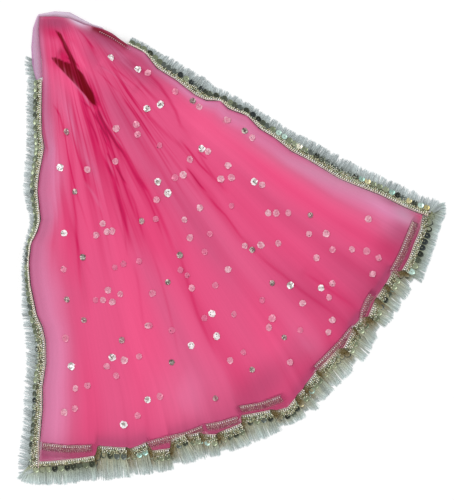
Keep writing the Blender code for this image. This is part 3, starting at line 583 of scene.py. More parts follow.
# folded-under runs of the same trim, seen through the net: piece, start and end angle, inner edge, height
tucks = [
    ("left", 92.5, 85.6, [619.3, 623.0, 623.5], 0.9),
    ("middle", 64.6, 58.9, [624.2, 634.0, 639.5], 0.3),
    ("right", 36.0, 28.4, [612.0, 608.5, 604.0, 600.5], 0.9),
    ("right", 44.3, 40.2, [626.5, 616.0, 611.0, 608.5], -0.2),
    ("right", 53.0, 45.6, [631.5, 628.5, 626.0, 622.5], -0.2),
    ("middle", 69.8, 65.4, [629.6, 634.5, 637.0], 0.3),
    ("middle", 78.2, 70.2, [631.0, 629.5, 631.5, 630.0], -0.2),
]

# uneven gathers: random tables that stand for the small folds of the net
gatherTables = np.array([[dice.uniform(-1.0, 1.0) for _ in range(512)] for _ in range(6)])


def wander(places, row):
    # smooth random wave along places, one step per unit
    base = np.floor(places).astype(int)
    share = ease(places - base)
    table = gatherTables[row]
    return table[base % 512] * (1.0 - share) + table[(base + 1) % 512] * share


def gathers(u, v):
    # fine folds that run from the gathered corner and fade before the hem, uneven across and along
    fromLeft, fromRight, fromTop, fromHem = distances(u, v)
    total = np.zeros_like(u)
    for waves, share, row in ((22, 0.8, 0), (41, 0.9, 1), (74, 0.8, 2), (120, 0.5, 3)):
        drift = 0.7 * wander(v * 5.0 + row * 17.0, 4) + 0.4 * wander(u * 9.0 + v * 3.0, 5)
        strength = 0.55 + 0.45 * wander(u * waves * 0.23 + v * 4.0 + 31.0 * row, 5)
        total += share * strength * wander(u * waves + drift, row)
    fade = ease((0.62 - v) / 0.5) * (0.45 + 0.55 * ease((0.45 - v) / 0.35))
    return total * fade * ease(fromLeft / 16.0) * ease(fromRight / 26.0) * ease(fromTop / 10.0)


# thin creases: waves across the fan, width of a line, strength, row of gatherTables
creaseWaves = [(15, 0.14, 0.9, 0), (27, 0.20, 0.8, 1), (46, 0.26, 0.7, 2), (70, 0.34, 0.5, 3)]


def fineCreases(u, v):
    # thin lines of painted crease shade where slow waves across the gathers cross zero, each seen for part of
    # its length
    fromLeft, fromRight, fromTop, fromHem = distances(u, v)
    total = np.zeros_like(u)
    for waves, width, share, row in creaseWaves:
        phase = u * waves + 0.9 * wander(v * 4.0 + 13.0 * row, 4) + 0.5 * wander(u * 7.0 + v * 3.0, 5)
        line = bump(wander(phase, row), width)
        total += share * line * ease(0.1 + 1.3 * wander(u * waves * 0.5 + v * 6.0 + 11.0 * row, 5))
    fade = ease((0.66 - v) / 0.45) * (0.35 + 0.65 * ease((v - 0.06) / 0.16))
    fade = fade * (1.0 - 0.8 * ease((u - 0.62) / 0.2) * ease((v - 0.16) / 0.15))
    return total * fade * ease((fromLeft - 8.0) / 26.0) * ease(fromRight / 40.0) * ease(fromTop / 20.0)


def nearTuck(theta, radius):
    # 1 over the folded-under trim, 0 elsewhere
    cover = np.zeros_like(radius)
    for _, start, end, edge, _ in tucks:
        share = np.clip((theta - start) / (end - start), 0, 1)
        inner = np.interp(share, np.linspace(0, 1, len(edge)), edge)
        side = ease((start + 1.0 - theta) / 1.5) * ease((theta - end + 1.0) / 1.5)
        band = side * ease((radius - inner + 2.5) / 2.5)
        band = band * (0.35 + 0.65 * ease((inner + 12.5 - radius) / 4.0))
        cover = np.maximum(cover, band * ease((inner + 22.0 - radius) / 5.0))
    return cover


def softSpot(x, y, midX, midY, long, wide, turn):
    cosine, sine = math.cos(math.radians(turn)), math.sin(math.radians(turn))
    along = (x - midX) * cosine + (y - midY) * sine
    across = (y - midY) * cosine - (x - midX) * sine
    return np.exp(-((along / long) ** 2) - (across / wide) ** 2)


def pastMargin(distance, v, margin):
    # 0 on the plain strip along a side, 1 where the net is in layers
    down, plain, soft = np.transpose(margin)
    return ease((distance - np.interp(v, down, plain)) / np.interp(v, down, soft))


# how strongly each thing paints shade or light on the net, as tone, and two shares of its layers
netShades = {
    "layers": 0.74, "layerWaves": 0.17, "folds": 0.22, "thinCreases": 0.75, "waves": 0.15, "gathers": 0.15,
    "pleatChance": 0.09, "pleatTop": 0.07, "pleatFoot": 0.16,
    "hemLine": 0.12, "hemShade": 0.26, "sideLine": 0.12,
}
# how far the net hides what is under it: one layer, what many and the slit's painted shadow add, and what
# trim takes off
netCover = {"single": 0.86, "layers": 0.13, "slitShadow": 0.2, "overTrim": 0.78}


def netColour(u, v):
    fromLeft, fromRight, fromTop, fromHem = distances(u, v)
    fromSides = np.minimum(fromLeft, fromRight)
    spot = faceSpot(u, v)
    x, y = spot[..., 0], spot[..., 1]

    # number of layers, and tone as painted light and shade, from the folds, the washes and uneven waves
    layers = pastMargin(fromLeft, v, leftMargin) * pastMargin(fromRight, v, rightMargin)
    layers = netShades["layers"] * layers
    tone = netShades["folds"] * foldField(x, y, 2) + foldField(x, y, 1, creases, (0.25, 0.4))
    tone = tone - netShades["thinCreases"] * fineCreases(u, v)
    layers = layers + foldField(x, y, 2, creases, (0.25, 0.4))
    for *spread, thin, shade in washes:
        weight = softSpot(x, y, *spread)
        layers = layers + thin * weight
        tone = tone + shade * weight
    lower = ease((v - 0.3) / 0.3)
    tone = tone + netShades["waves"] * lower * wander(u * 27.0 + 0.4 * wander(v * 3.0, 4), 2)
    layers = layers + netShades["layerWaves"] * lower * wander(u * 15.0 + 0.6 * wander(v * 2.0 + 5.0, 4), 1)

    # each pleat has a tone of its own, a little painted light, and painted shade where its neighbour lies
    # over it
    arc = u * hemLength
    reach = np.exp(-fromHem / 190.0)
    for k, pleat in enumerate(pleats):
        start, end = arcOf(pleat[0]), arcOf(pleat[1])
        inside = ease((arc - start + 2.0) / 4.0) * ease((end + 2.0 - arc) / 4.0)
        tone = tone + netShades["pleatChance"] * gatherTables[3][k] * reach * inside
        share = (arc - start) / (end - start)
        toLow = np.clip(1.0 - share if k < lowestPleat else share, 0, 1)
        if 0 < k < len(pleats) - 1:
            shade = netShades["pleatTop"] - netShades["pleatFoot"] * toLow ** 2
            tone = tone + shade * inside * np.exp(-fromHem / 75.0)
    # painted light and shade of the fine gathers, then painted shade along the hem, deeper towards the right,
    # and along the sides
    tone = tone + netShades["gathers"] * gathers(u, v)
    tone = tone - netShades["hemLine"] * bump(fromHem, 9.0) * ease((u - 0.1) / 0.1)
    tone = tone - netShades["hemShade"] * bump(fromHem, 34.0) * ease((u - 0.42) / 0.2)
    tone = tone - netShades["sideLine"] * bump(fromSides, 10.0)

    # layers choose the net's own colour, and tone moves it to a painted highlight or a painted shade
    layers = np.clip(layers, 0.0, 1.0)
    colour = np.where(
        (layers < 0.5)[..., None],
        toward(tint["single"], tint["double"], (layers * 2.0)[..., None]),
        toward(tint["double"], tint["many"], (layers * 2.0 - 1.0)[..., None]),
    )
    tone = np.clip(tone, -1.0, 1.0)
    shadow, glow = np.clip(-1.6 * tone, 0, 1)[..., None], np.clip(tone, 0, 1)[..., None]
    colour = colour + (tint["deepShade"] - colour) * shadow + (tint["highlight"] - colour) * glow
    colour = toward(colour, tint["darkShade"], np.clip(-1.5 * tone - 0.95, 0, 1)[..., None])

    # painted dull shade along the hem, at the very sides, and over folded-under trim
    nearHem = 0.8 * bump(fromHem, 15.0) * ease((u - 0.44) / 0.12)
    nearHem = nearHem + 0.5 * bump(fromHem, 42.0) * ease((u - 0.66) / 0.12)
    leftHem = 0.72 * bump(fromHem, 21.0) * ease((0.6 - u) / 0.2)
    dullShade = np.maximum(nearHem * ease((1.0 - u) / 0.05), leftHem)
    dullShade = np.maximum(dullShade, 0.7 * bump(fromSides, 2.8))
    theta = np.degrees(np.arctan2(fan["y"] - y, x - fan["x"]))
    window = nearTuck(theta, np.hypot(x - fan["x"], y - fan["y"]))
    dullShade = np.maximum(dullShade, 0.7 * window) + 0.28 * bump(fromLeft, 13.0) * ease((v - 0.1) / 0.1)
    colour = toward(colour, tint["dullShade"], np.clip(dullShade, 0, 0.85)[..., None])
    for name, rows in patches.items():
        share = np.max([row[-1] * softSpot(x, y, *row[:-1]) for row in rows], axis=0)
        colour = toward(colour, tint[name], share[..., None])

    # the slit's painted shadow, uneven with the gathers that cross it, joined by the painted shade of the
    # wrapped braid
    uneven = np.clip(0.84 + 0.4 * gathers(u, v) + 0.4 * ease((245.0 - y) / 30.0), 0.35, 0.97)
    slitShadow = np.maximum(slitShade(x, y) * uneven, foldField(x, y, 1, wrapShade))
    colour = toward(colour, tint["slitShadow"], slitShadow[..., None])
    cover = netCover["single"] + netCover["layers"] * layers + netCover["slitShadow"] * slitShadow
    cover = cover - netCover["overTrim"] * window
    return np.concatenate([colour, np.clip(cover, 0, 1)[..., None]], axis=-1)


def colourAndShadeMaterial(name, settings, streaks=0.0, sheer=False):
    # a Principled material whose colour, painted light and shade included, and cover if it is sheer, come
    # from the piece's colour attribute
    material, tree, shader = newMaterial(name)
    colourAndShade = addNode(tree, "ShaderNodeAttribute", {"attribute_name": "colourAndShade"})
    colour = colourAndShade.outputs["Color"]
    if streaks:
        uv = addNode(tree, "ShaderNodeUVMap", {"uv_map": "UVMap"})
        stretch = addNode(
            tree, "ShaderNodeMapping", {"Scale": (150.0, 3.0, 1.0)}, {"Vector": uv.outputs["UV"]})
        noise = addNode(
            tree, "ShaderNodeTexNoise", {"Scale": 1.0, "Detail": 3.0, "Roughness": 0.6},
            {"Vector": stretch.outputs["Vector"]})
        span = addNode(
            tree, "ShaderNodeMapRange",
            {"From Min": 0.3, "From Max": 0.7, "To Min": 1.0 - streaks, "To Max": 1.0 + streaks},
            {"Value": noise.outputs["Fac"]})
        tone = addNode(
            tree, "ShaderNodeHueSaturation", None, {"Value": span.outputs["Result"], "Color": colour})
        colour = tone.outputs["Color"]
    tree.links.new(colour, shader.inputs["Base Color"])
    for socket, value in settings.items():
        shader.inputs[socket].default_value = value
    if sheer:
        tree.links.new(colourAndShade.outputs["Alpha"], shader.inputs["Alpha"])
    return material


netLook = {"Roughness": 0.85, "Specular IOR Level": 0.1, "Sheen Weight": 0.04, "Sheen Roughness": 0.4}
# nylon net: matt with a little sheen, streaked along the gathers, and lets trim show through
netCloth = colourAndShadeMaterial("nylon net", netLook, streaks=0.03, sheer=True)
# the layers under it: the same net, close enough to look solid
backCloth = colourAndShadeMaterial("nylon net in layers", netLook, streaks=0.05)
# braid, cord and beads: pale gold thread and glass that shine softly
goldThread = colourAndShadeMaterial("gold thread braid", {"Roughness": 0.42, "Metallic": 0.25, "Specular IOR Level": 0.5})
# fringe: dull rayon strands, sage at the root and bluish white at the tips
rayon = colourAndShadeMaterial("rayon fringe", {"Roughness": 0.65, "Specular IOR Level": 0.3, "Sheen Weight": 0.2})
# sequins: thin metallised plastic, some dark, some gold and mint
foil = colourAndShadeMaterial("metallised sequin", {"Roughness": 0.22, "Metallic": 0.55, "Specular IOR Level": 0.6})


netStyle = {"columns": 300, "rows": 330, "wall": 1.3, "gatherHeight": 0.45}


def placeFace(u, v):
    height = faceHeight(u, v) + netStyle["wall"]
    height = height + netStyle["gatherHeight"] * gathers(u, v)
    return np.concatenate([faceSpot(u, v), height[..., None]], axis=-1) * mm


netFace, faceU, faceV = gridPiece("netFace", netStyle["columns"], netStyle["rows"], placeFace, netCloth)
paint(netFace, netColour(faceU, faceV))
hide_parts("net_face")
print("net face laid")


# the layers under the face: cells each way, how far they are drawn in, and how their height follows it
backStyle = {"cells": 90, "inset": 0.004, "foot": 0.25, "below": 2.6, "share": 0.85}


def placeBack(u, v):
    inset = backStyle["inset"]
    uu, vv = inset + (1 - 2 * inset) * u, inset + (1 - 2 * inset) * v
    rise = np.maximum(0.0, faceHeight(uu, vv) - backStyle["below"])
    height = backStyle["foot"] + backStyle["share"] * rise
    return np.concatenate([faceSpot(uu, vv), height[..., None]], axis=-1) * mm


netBack, backU, backV = gridPiece("netBack", backStyle["cells"], backStyle["cells"], placeBack, backCloth)
backColourAndShade = netColour(backU, backV)
backColourAndShade[:, 3] = 1.0
paint(netBack, backColourAndShade)
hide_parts("net_underfolds")

faceSpots = np.empty(len(netFace.data.vertices) * 3)
netFace.data.vertices.foreach_get("co", faceSpots)
faceSpots = faceSpots.reshape(-1, 3) / mm


def heightAt(x, y):
    # top of the face near a place in plan, in mm
    near = np.hypot(faceSpots[:, 0] - x, faceSpots[:, 1] - y)
    return float(faceSpots[np.argsort(near)[:6], 2].max())


# the turned-back loop of net: inner x, inner y, outer x, outer y, height
loops = [
    (-284.0, 256.0, -291.5, 252.0, 1.4), (-285.6, 279.8, -297.0, 277.5, 3.6),
    (-287.4, 303.0, -298.0, 303.0, 5.4), (-288.4, 327.8, -295.5, 330.5, 5.6),
    (-287.3, 346.0, -290.0, 346.5, 4.2), (-286.3, 348.8, -287.4, 351.2, 3.6),
    (-261.0, 349.2, -262.5, 355.6, 5.4), (-240.0, 346.2, -240.0, 354.0, 5.6),
    (-218.0, 337.4, -222.0, 344.3, 4.4), (-203.0, 333.4, -207.0, 336.6, 2.2),
    (-190.5, 330.4, -191.5, 331.8, 1.2),
]


def placeLoop(u, v):
    at = columnsAt(v, np.linspace(0, 1, len(loops)), loops)
    across = 1.0 - u
    profile = np.sin(math.pi * np.clip(0.5 + 0.5 * u, 0, 1)) ** 0.5 * 0.9 + 0.1
    spot = at[..., 0:2] - 3.0 * unit(at[..., 2:4] - at[..., 0:2]) * u[..., None]
    spot = spot + (at[..., 2:4] - spot) * across[..., None]
    height = (at[..., 4] - 0.4) * np.sin(math.pi * np.clip(across * 0.85 + 0.1, 0, 1))
    height = 0.3 + height * (0.3 + 0.7 * profile)
    return np.concatenate([spot, height[..., None]], axis=-1) * mm


netLoop, loopU, loopV = gridPiece("netLoop", 14, 90, placeLoop, netCloth)
edgeLine = bump(loopU, 0.12)
loopDye = toward(tint["lilac"], tint["mauve"], (1.0 - ease((loopV - 0.34) / 0.3))[:, None])
loopDye = toward(loopDye, tint["mauveEdge"], edgeLine[:, None])
loopDye = toward(loopDye, tint["single"] * 0.8, (0.8 * ease((loopU - 0.4) / 0.5))[:, None])
loopCover = 0.6 + 0.35 * edgeLine + 0.3 * ease((loopU - 0.6) / 0.4)
paint(netLoop, np.concatenate([loopDye, loopCover[:, None]], axis=1))
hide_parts("net_loop")
print("layers and loop laid")


# the trim: braid with a cord at its inner edge and rows of beads, sequins half under it, and fringe
trimLook = {
    "width": braidWidth, "ringPitch": 1.7, "sequinPitch": 9.7, "sequinRadius": 4.4,
    "strandPitch": 0.6, "strandRadius": [0.42, 0.42, 0.24], "strandStations": [0.0, 0.6, 1.0],
    "cornerStrands": 34,
    "web": ["#4f4a36", "#7d7a60", "#3b372b"],
    "cord": ["#f3d8d3", "#e4c3bd", "#fbe7e1"], "bead": ["#ffffff", "#fbf6ea", "#f1ead6"],
    "lace": ["#cfd8b6", "#f3efd6", "#a09f78", "#ddd8b2", "#74725a", "#c4d2bb", "#fbf8e8"],
    "fringe": ["#8f988f", "#b9c4c4", "#dbe6e8"], "hemFringe": ["#96986e", "#b1beb4", "#d3e4e4"],
    "warm": "#cfc29c", "shadedThread": "#6a5524", "shadedStrand": "#7d6738",
}
# rows of beads: share of the width, pitch, half sizes across, along and up, and palette
beadRows = [
    (0.06, 1.6, (0.75, 0.95, 0.7), "cord"),
    (0.27, 3.3, (1.3, 1.25, 1.0), "bead"),
    (0.50, 2.4, (0.95, 1.15, 0.7), "lace"),
    (0.70, 2.9, (1.0, 1.2, 0.7), "lace"),
    (0.92, 2.6, (0.95, 1.1, 0.6), "lace"),
    (1.12, 3.4, (0.9, 1.2, 0.6), "lace"),
]
# dark, gold, mint, cream and sage sequins
sequinColours = {
    "d": ["#20261d", "#343a2c", "#283030", "#4d5446", "#59615c"],
    "g": ["#b3a76e", "#94894f", "#cdc391"],
    "m": ["#a3c9bd", "#bcd9cd", "#93b9ad"],
    "c": ["#efe7c4", "#f6f0dc", "#e5d6a8"],
    "s": ["#7d866c", "#949d82", "#666e58"],
}


def makeSequin(bm):
    # a cupped disc with a hole in its middle
    bmesh.ops.create_circle(bm, cap_ends=True, segments=14, radius=1.0)
    bmesh.ops.inset_region(bm, faces=bm.faces[:], thickness=0.35, depth=-0.09, use_boundary=True)
    hole = [face for face in bm.faces if len(face.verts) > 4]
    bmesh.ops.inset_region(bm, faces=hole, thickness=0.5, depth=-0.03, use_boundary=True)
    bmesh.ops.delete(bm, geom=[face for face in bm.faces if len(face.verts) > 4], context="FACES_ONLY")


shadeBrown = rgb(trimLook["shadedThread"])
sequinShape = template(makeSequin)
beadShape = template(bmesh.ops.create_icosphere, subdivisions=1, radius=1.0)


def resample(run, places):
    # the frame of a run of trim at places along its inner edge
    length = lengthsAlong(run["inner"])
    out = {}
    for name in ("inner", "out", "up", "reach", "shade"):
        values = np.asarray(run[name], float)
        out[name] = (np.interp if values.ndim == 1 else columnsAt)(places, length, values)
    out["out"], out["up"] = unit(out["out"]), unit(out["up"])
    out["along"] = unit(np.cross(out["up"], out["out"]))
    return out


def layWeb(run, length, width):
    # the braid's woven ground, scalloped along its outer edge
    places = np.arange(0.0, length + 0.5 * trimLook["ringPitch"], trimLook["ringPitch"])
    at = resample(run, places)
    profile = [(0.0, -0.9), (1.0, -0.9), (1.0, -0.3), (0.72, -0.1), (0.4, -0.2), (0.14, -0.1), (0.0, -0.2)]
    rings, colourAndShade = [], []
    for k in range(len(places)):
        scallop = 0.5 if k % 2 else -0.3
        tone = rgba(dice.choice(trimLook["web"]))
        tone[:3] = toward(tone[:3], shadeBrown, at["shade"][k])
        if run.get("veil"):
            tone[:3] = toward(tone[:3], tint["dullShade"] * 0.8, 0.7)
        ring = []
        for share, rise in profile:
            far = share * width + (scallop if share == 1.0 else 0.0)
            ring.append(at["inner"][k] + at["out"][k] * far + at["up"][k] * rise)
        rings.append(ring)
        colourAndShade.append([tone] * len(profile))
    rings = np.array(rings)
    rings[:, :, 2] = np.maximum(rings[:, :, 2], 0.2)
    return sweep(rings, colourAndShade)


def layBeads(run, length, width):
    rows = []
    for row, (share, pitch, size, palette) in enumerate(run.get("rows", beadRows)):
        places = np.arange(pitch * (0.5 + 0.3 * (row % 2)), length, pitch)
        at = resample(run, places)
        spots = at["inner"] + at["out"] * (share * width) + at["up"] * 0.1
        if palette == "lace":
            spots += at["out"] * np.array([[dice.uniform(-0.5, 0.5)] for _ in places])
        spots[:, 2] = np.maximum(spots[:, 2], 0.9)
        axes = np.stack([at["out"] * size[0], at["along"] * size[1], at["up"] * size[2]], axis=1)
        colours = np.array([rgba(dice.choice(trimLook[palette])) for _ in places])
        colours[:, :3] *= np.array([[dice.uniform(0.9, 1.1)] for _ in places])
        colours[:, :3] = toward(colours[:, :3], shadeBrown, at["shade"][:, None])
        if run.get("veil"):
            veil = run["veil"] + (0.5 if palette == "lace" else 0.0)
            colours[:, :3] = toward(colours[:, :3], tint["dullShade"], veil)
        rows.append(copies(beadShape, (axes, spots), colours))
    return rows


def laySequins(run, length, width):
    codes = run["sequins"]
    count = max(1, int(round(length / trimLook["sequinPitch"])))
    places = (np.arange(count) + 0.5) * length / count
    at = resample(run, places)
    turn = np.array([[dice.uniform(-0.06, 0.06), dice.uniform(-0.10, 0.10)] for _ in places])
    tip = at["out"] * (turn[:, :1] - 0.05) + at["along"] * turn[:, 1:]
    upward = unit(at["up"] + np.array([0.0, 0.0, 1.0]) + tip)
    outward = unit(at["out"] - upward * np.sum(at["out"] * upward, axis=1, keepdims=True))
    sideways = np.cross(upward, outward)
    spots = at["inner"] + at["out"] * (width + 2.9) - at["up"] * 0.15
    radius = trimLook["sequinRadius"]
    spots[:, 2] = np.maximum(spots[:, 2], 0.6 + 1.1 * radius * np.sqrt(1.0 - upward[:, 2] ** 2))
    axes = np.stack([outward * radius * run.get("stretch", 1.0), sideways * radius, upward * radius], axis=1)
    kinds = [codes[min(len(codes) - 1, int(k * len(codes) / count))] for k in range(count)]
    colours = np.array([rgba(dice.choice(sequinColours[kind])) for kind in kinds])
    colours[:, :3] *= (1.0 - 0.6 * at["shade"])[:, None]
    return copies(sequinShape, (axes, spots), colours)


def layStrands(run, length, width, level):
    # one layer of the fringe: strands of three stations, clumped, bent and uneven in length
    places = np.arange(dice.uniform(0, 0.3), length, trimLook["strandPitch"])
    extra = trimLook["cornerStrands"]
    if "corner" in run:
        places = np.append(places, np.full(extra, length if run["cornerLast"] else 0.0))
    at = resample(run, places)
    if "corner" in run:
        turn = np.linspace(0.0, 1.0, extra)[:, None]
        at["out"][-extra:] = unit(at["out"][-extra:] * (1.0 - turn) + np.array(run["corner"]) * turn)
        places[-extra:] += np.linspace(0.0, 14.0, extra)
    count = len(places)
    seed = dice.uniform(0, 300)
    clump = wander(places / 5.5 + seed, level)
    tuft = 1.0 - run.get("tuft", 0.0) * np.abs(np.sin(places * math.pi / 7.5 + 2.6 * clump)) ** 4
    lean = run["lean"] + 0.12 * clump + np.array([dice.gauss(0.0, 0.05) for _ in places])
    way = unit((at["out"] + at["along"] * lean[:, None]) * np.array([1.0, 1.0, 0.0]))
    root = at["inner"] + at["out"] * (width - 0.8)
    reach = (at["reach"] + 0.8) * tuft * np.array([dice.uniform(0.93, 1.05) for _ in places])
    reach = reach * (1.0 + 0.06 * wander(places / 9.0 + seed, 2))
    rootHigh = np.maximum(0.35, root[:, 2] - 1.1)
    sideways = np.stack([-way[:, 1], way[:, 0], np.zeros(count)], axis=1)
    bend = 1.2 * wander(places / 4.0 + seed, 1) + np.array([dice.gauss(0.0, 0.3) for _ in places])
    rings = []
    for across, along in zip(trimLook["strandRadius"], trimLook["strandStations"]):
        centre = root + way * (reach * along)[:, None] + sideways * (bend * along * along)[:, None]
        centre[:, 2] = 0.3 + 0.2 * level + (rootHigh - 0.3) * (1.0 - along) ** 1.5
        for corner in (0.5, 2.6, 4.7):
            rise = np.array([0, 0, 0.7 * across * math.sin(corner)])
            rings.append(centre + sideways * (across * math.cos(corner)) + rise)
    spots = np.stack(rings, axis=1)

    tones = (1.0 + 0.2 * clump) * np.array([dice.uniform(0.66, 1.2) for _ in places])
    palette = np.array([rgba(code) for code in trimLook["hemFringe" if "warm" in run else "fringe"]])
    colourAndShade = np.tile(np.repeat(palette, 3, axis=0), (count, 1, 1))
    warmth = run.get("warm", 0.0) * np.clip(0.6 + 0.6 * wander(places / 3.0 + seed, 3), 0, 1)
    warmth = warmth[:, None] * np.repeat([1.0, 0.5, 0.1], 3)
    # painted shade at the pleat's low side, strongest at the root
    darkShade = at["shade"][:, None] * np.repeat([1.0, 0.5, 0.12], 3)
    colours = toward(colourAndShade[:, :, :3], rgb(trimLook["warm"]), warmth[:, :, None])
    colours = colours * tones[:, None, None]
    colours = toward(colours, rgb(trimLook["shadedStrand"]), np.clip(darkShade, 0, 1)[:, :, None])
    if run.get("veil"):
        colours = toward(colours, tint["double"] * 0.85, 0.8)
    colourAndShade[:, :, :3] = colours
    faces = []
    for k in range(count):
        for ring in (0, 3):
            for s in range(3):
                low, t = 9 * k + ring, (s + 1) % 3
                faces.append([low + s, low + t, low + 3 + t, low + 3 + s])
    return spots.reshape(-1, 3), faces, colourAndShade.reshape(-1, 4)


def dressTrim(run, braid, beads, sequins, strands):
    # one run of trim, added to four lists of groups; a list that isn't kept leaves that part off
    length = lengthsAlong(run["inner"])[-1]
    width = run.get("width", trimLook["width"])
    braid.append(layWeb(run, length, width))
    beads += layBeads(run, length, width)
    sequins.append(laySequins(run, length, width))
    for level in (0, 1):
        strands.append(layStrands(run, length, width, level))


def sideRun(line, trims, side, sequins, lean):
    # a run along a side of the fan, where the trim hangs down from the net's edge to the surface
    step = unit(np.gradient(line, axis=0))
    outward = side * np.stack([-step[:, 1], step[:, 0]], axis=1)
    spread = np.clip(trims / 30.0, 0.3, 1.0)
    drop = np.sqrt(1.0 - spread * spread)
    out = np.column_stack([outward * spread[:, None], -drop])
    up = np.column_stack([outward * drop[:, None], spread])
    inner = np.column_stack([line + outward * 0.3, riseOf(trims) + 0.3]) + up
    reach = np.maximum(6.5, trims - braidWidth * spread + 1.0)
    return {
        "inner": inner, "out": out, "up": up, "reach": reach, "shade": np.zeros(len(line)),
        "sequins": sequins, "lean": lean,
    }


def smoothLine(line, extra, step=4.0):
    # more points along a wavy edge, rounded at its corners, with its other columns carried along
    line = np.asarray(line, float)
    length = lengthsAlong(line[:, :2])
    places = np.linspace(0, length[-1], int(length[-1] / step))
    columns = [np.interp(places, length, column) for column in [line[:, 0], line[:, 1], *extra]]
    for k in range(len(columns)):
        for _ in range(2):
            middle = (columns[k][:-2] + columns[k][1:-1] + columns[k][2:]) / 3.0
            columns[k] = np.concatenate([columns[k][:1], middle, columns[k][-1:]])
    return np.stack(columns[:2], axis=1), columns[2:]


leftRows = sectionTable[sectionTable[:, 2] > 0]
leftEdge = np.concatenate([leftRows[:, 0:2], leftRows[-1:, 0:2] + [[0.0, -9.2]]])
leftSpan = np.append(leftRows[:, 2], leftRows[-1, 2])
rightRows = sectionTable[sectionTable[:, 5] > 0]
ahead = unit(rightRows[-1, 3:5] - rightRows[-2, 3:5])
rightEdge = np.concatenate([rightRows[:, 3:5], rightRows[-1:, 3:5] + ahead[None] * 8.5])
rightSpan = np.append(rightRows[:, 5], rightRows[-1, 5])

leftLineFine, (leftSpanFine,) = smoothLine(leftEdge, [leftSpan])
rightLineFine, (rightSpanFine,) = smoothLine(rightEdge, [rightSpan])
leftRun = sideRun(
    leftLineFine, leftSpanFine, -1.0, "ssdsdsssssssssdssssssssdsssssdsssssdsdsssddsdsdsddsd", -0.22)
leftRun.update({"tuft": 0.5, "stretch": 0.7, "corner": (-0.75, -0.66, 0.0), "cornerLast": True})
rightRun = sideRun(
    rightLineFine, rightSpanFine, 1.0, "ssdssddddsddddddsdddddddsmsscsddddddddmgsssmddgdmg", 0.0)
rightRun.update({"tuft": 0.28, "corner": (0.9, 0.43, 0.0), "cornerLast": True})

# the end of the right braid, wrapped in net: only a row of its beads shows through
wrapLine = [(-197.0, 323.0), (-185.0, 317.5), (-173.0, 310.5), (-161.0, 302.0), (-151.0, 295.5)]
wrapLine = smoothLine(wrapLine, [])[0]
wrapRun = sideRun(wrapLine, np.full(len(wrapLine), 26.0), 1.0, "d", 0.0)
wrapRun["inner"][:, 2] = [heightAt(x, y) + 0.3 for x, y in wrapLine]
wrapRun["out"] = np.column_stack([wrapRun["out"][:, :2], np.zeros(len(wrapLine))])
wrapRun["up"] = np.tile([0.0, 0.0, 1.0], (len(wrapLine), 1))
wrapRun.update({"veil": 0.8, "width": 5.0, "rows": beadRows[1:2]})

# the fringe starts a little before the braid, beside the loop
startLine = np.array([(-287.6, 283.0), (-288.2, 272.0), (-286.0, 262.0), (-281.5, 252.8)])
leftStart = sideRun(startLine, np.full(4, 18.0), -1.0, "d", -0.22)
leftStart["tuft"] = 0.5

for side, run, node in (("Left", leftRun, "left"), ("Right", rightRun, "right")):
    braid, beads, sequins, strands = [], [], [], []
    dressTrim(run, braid, beads, sequins, strands)
    if side == "Left":
        dressTrim(leftStart, [], [], [], strands)
    else:
        dressTrim(wrapRun, [], beads, [], [])
    piece = joined("braid" + side, braid + beads, goldThread)
    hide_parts("braid_" + node)
    piece = joined("sequins" + side, sequins, foil, smooth=False)
    piece = joined("fringe" + side, strands, rayon)
    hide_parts("fringe_" + node)
print("side trims laid")


# what is different on the first two pleats and the last: corner strands, rows of beads, wider sequins
pleatExtras = {
    0: {
        "corner": (-0.66, -0.75, 0.0), "cornerLast": False, "rows": beadRows[:4],
        "width": 8.6, "stretch": 1.25,
    },
    1: {"rows": beadRows[:5], "stretch": 1.25},
    len(pleats) - 1: {"corner": (0.95, 0.3, 0.0), "cornerLast": True, "rows": beadRows[:5], "stretch": 1.3},
}


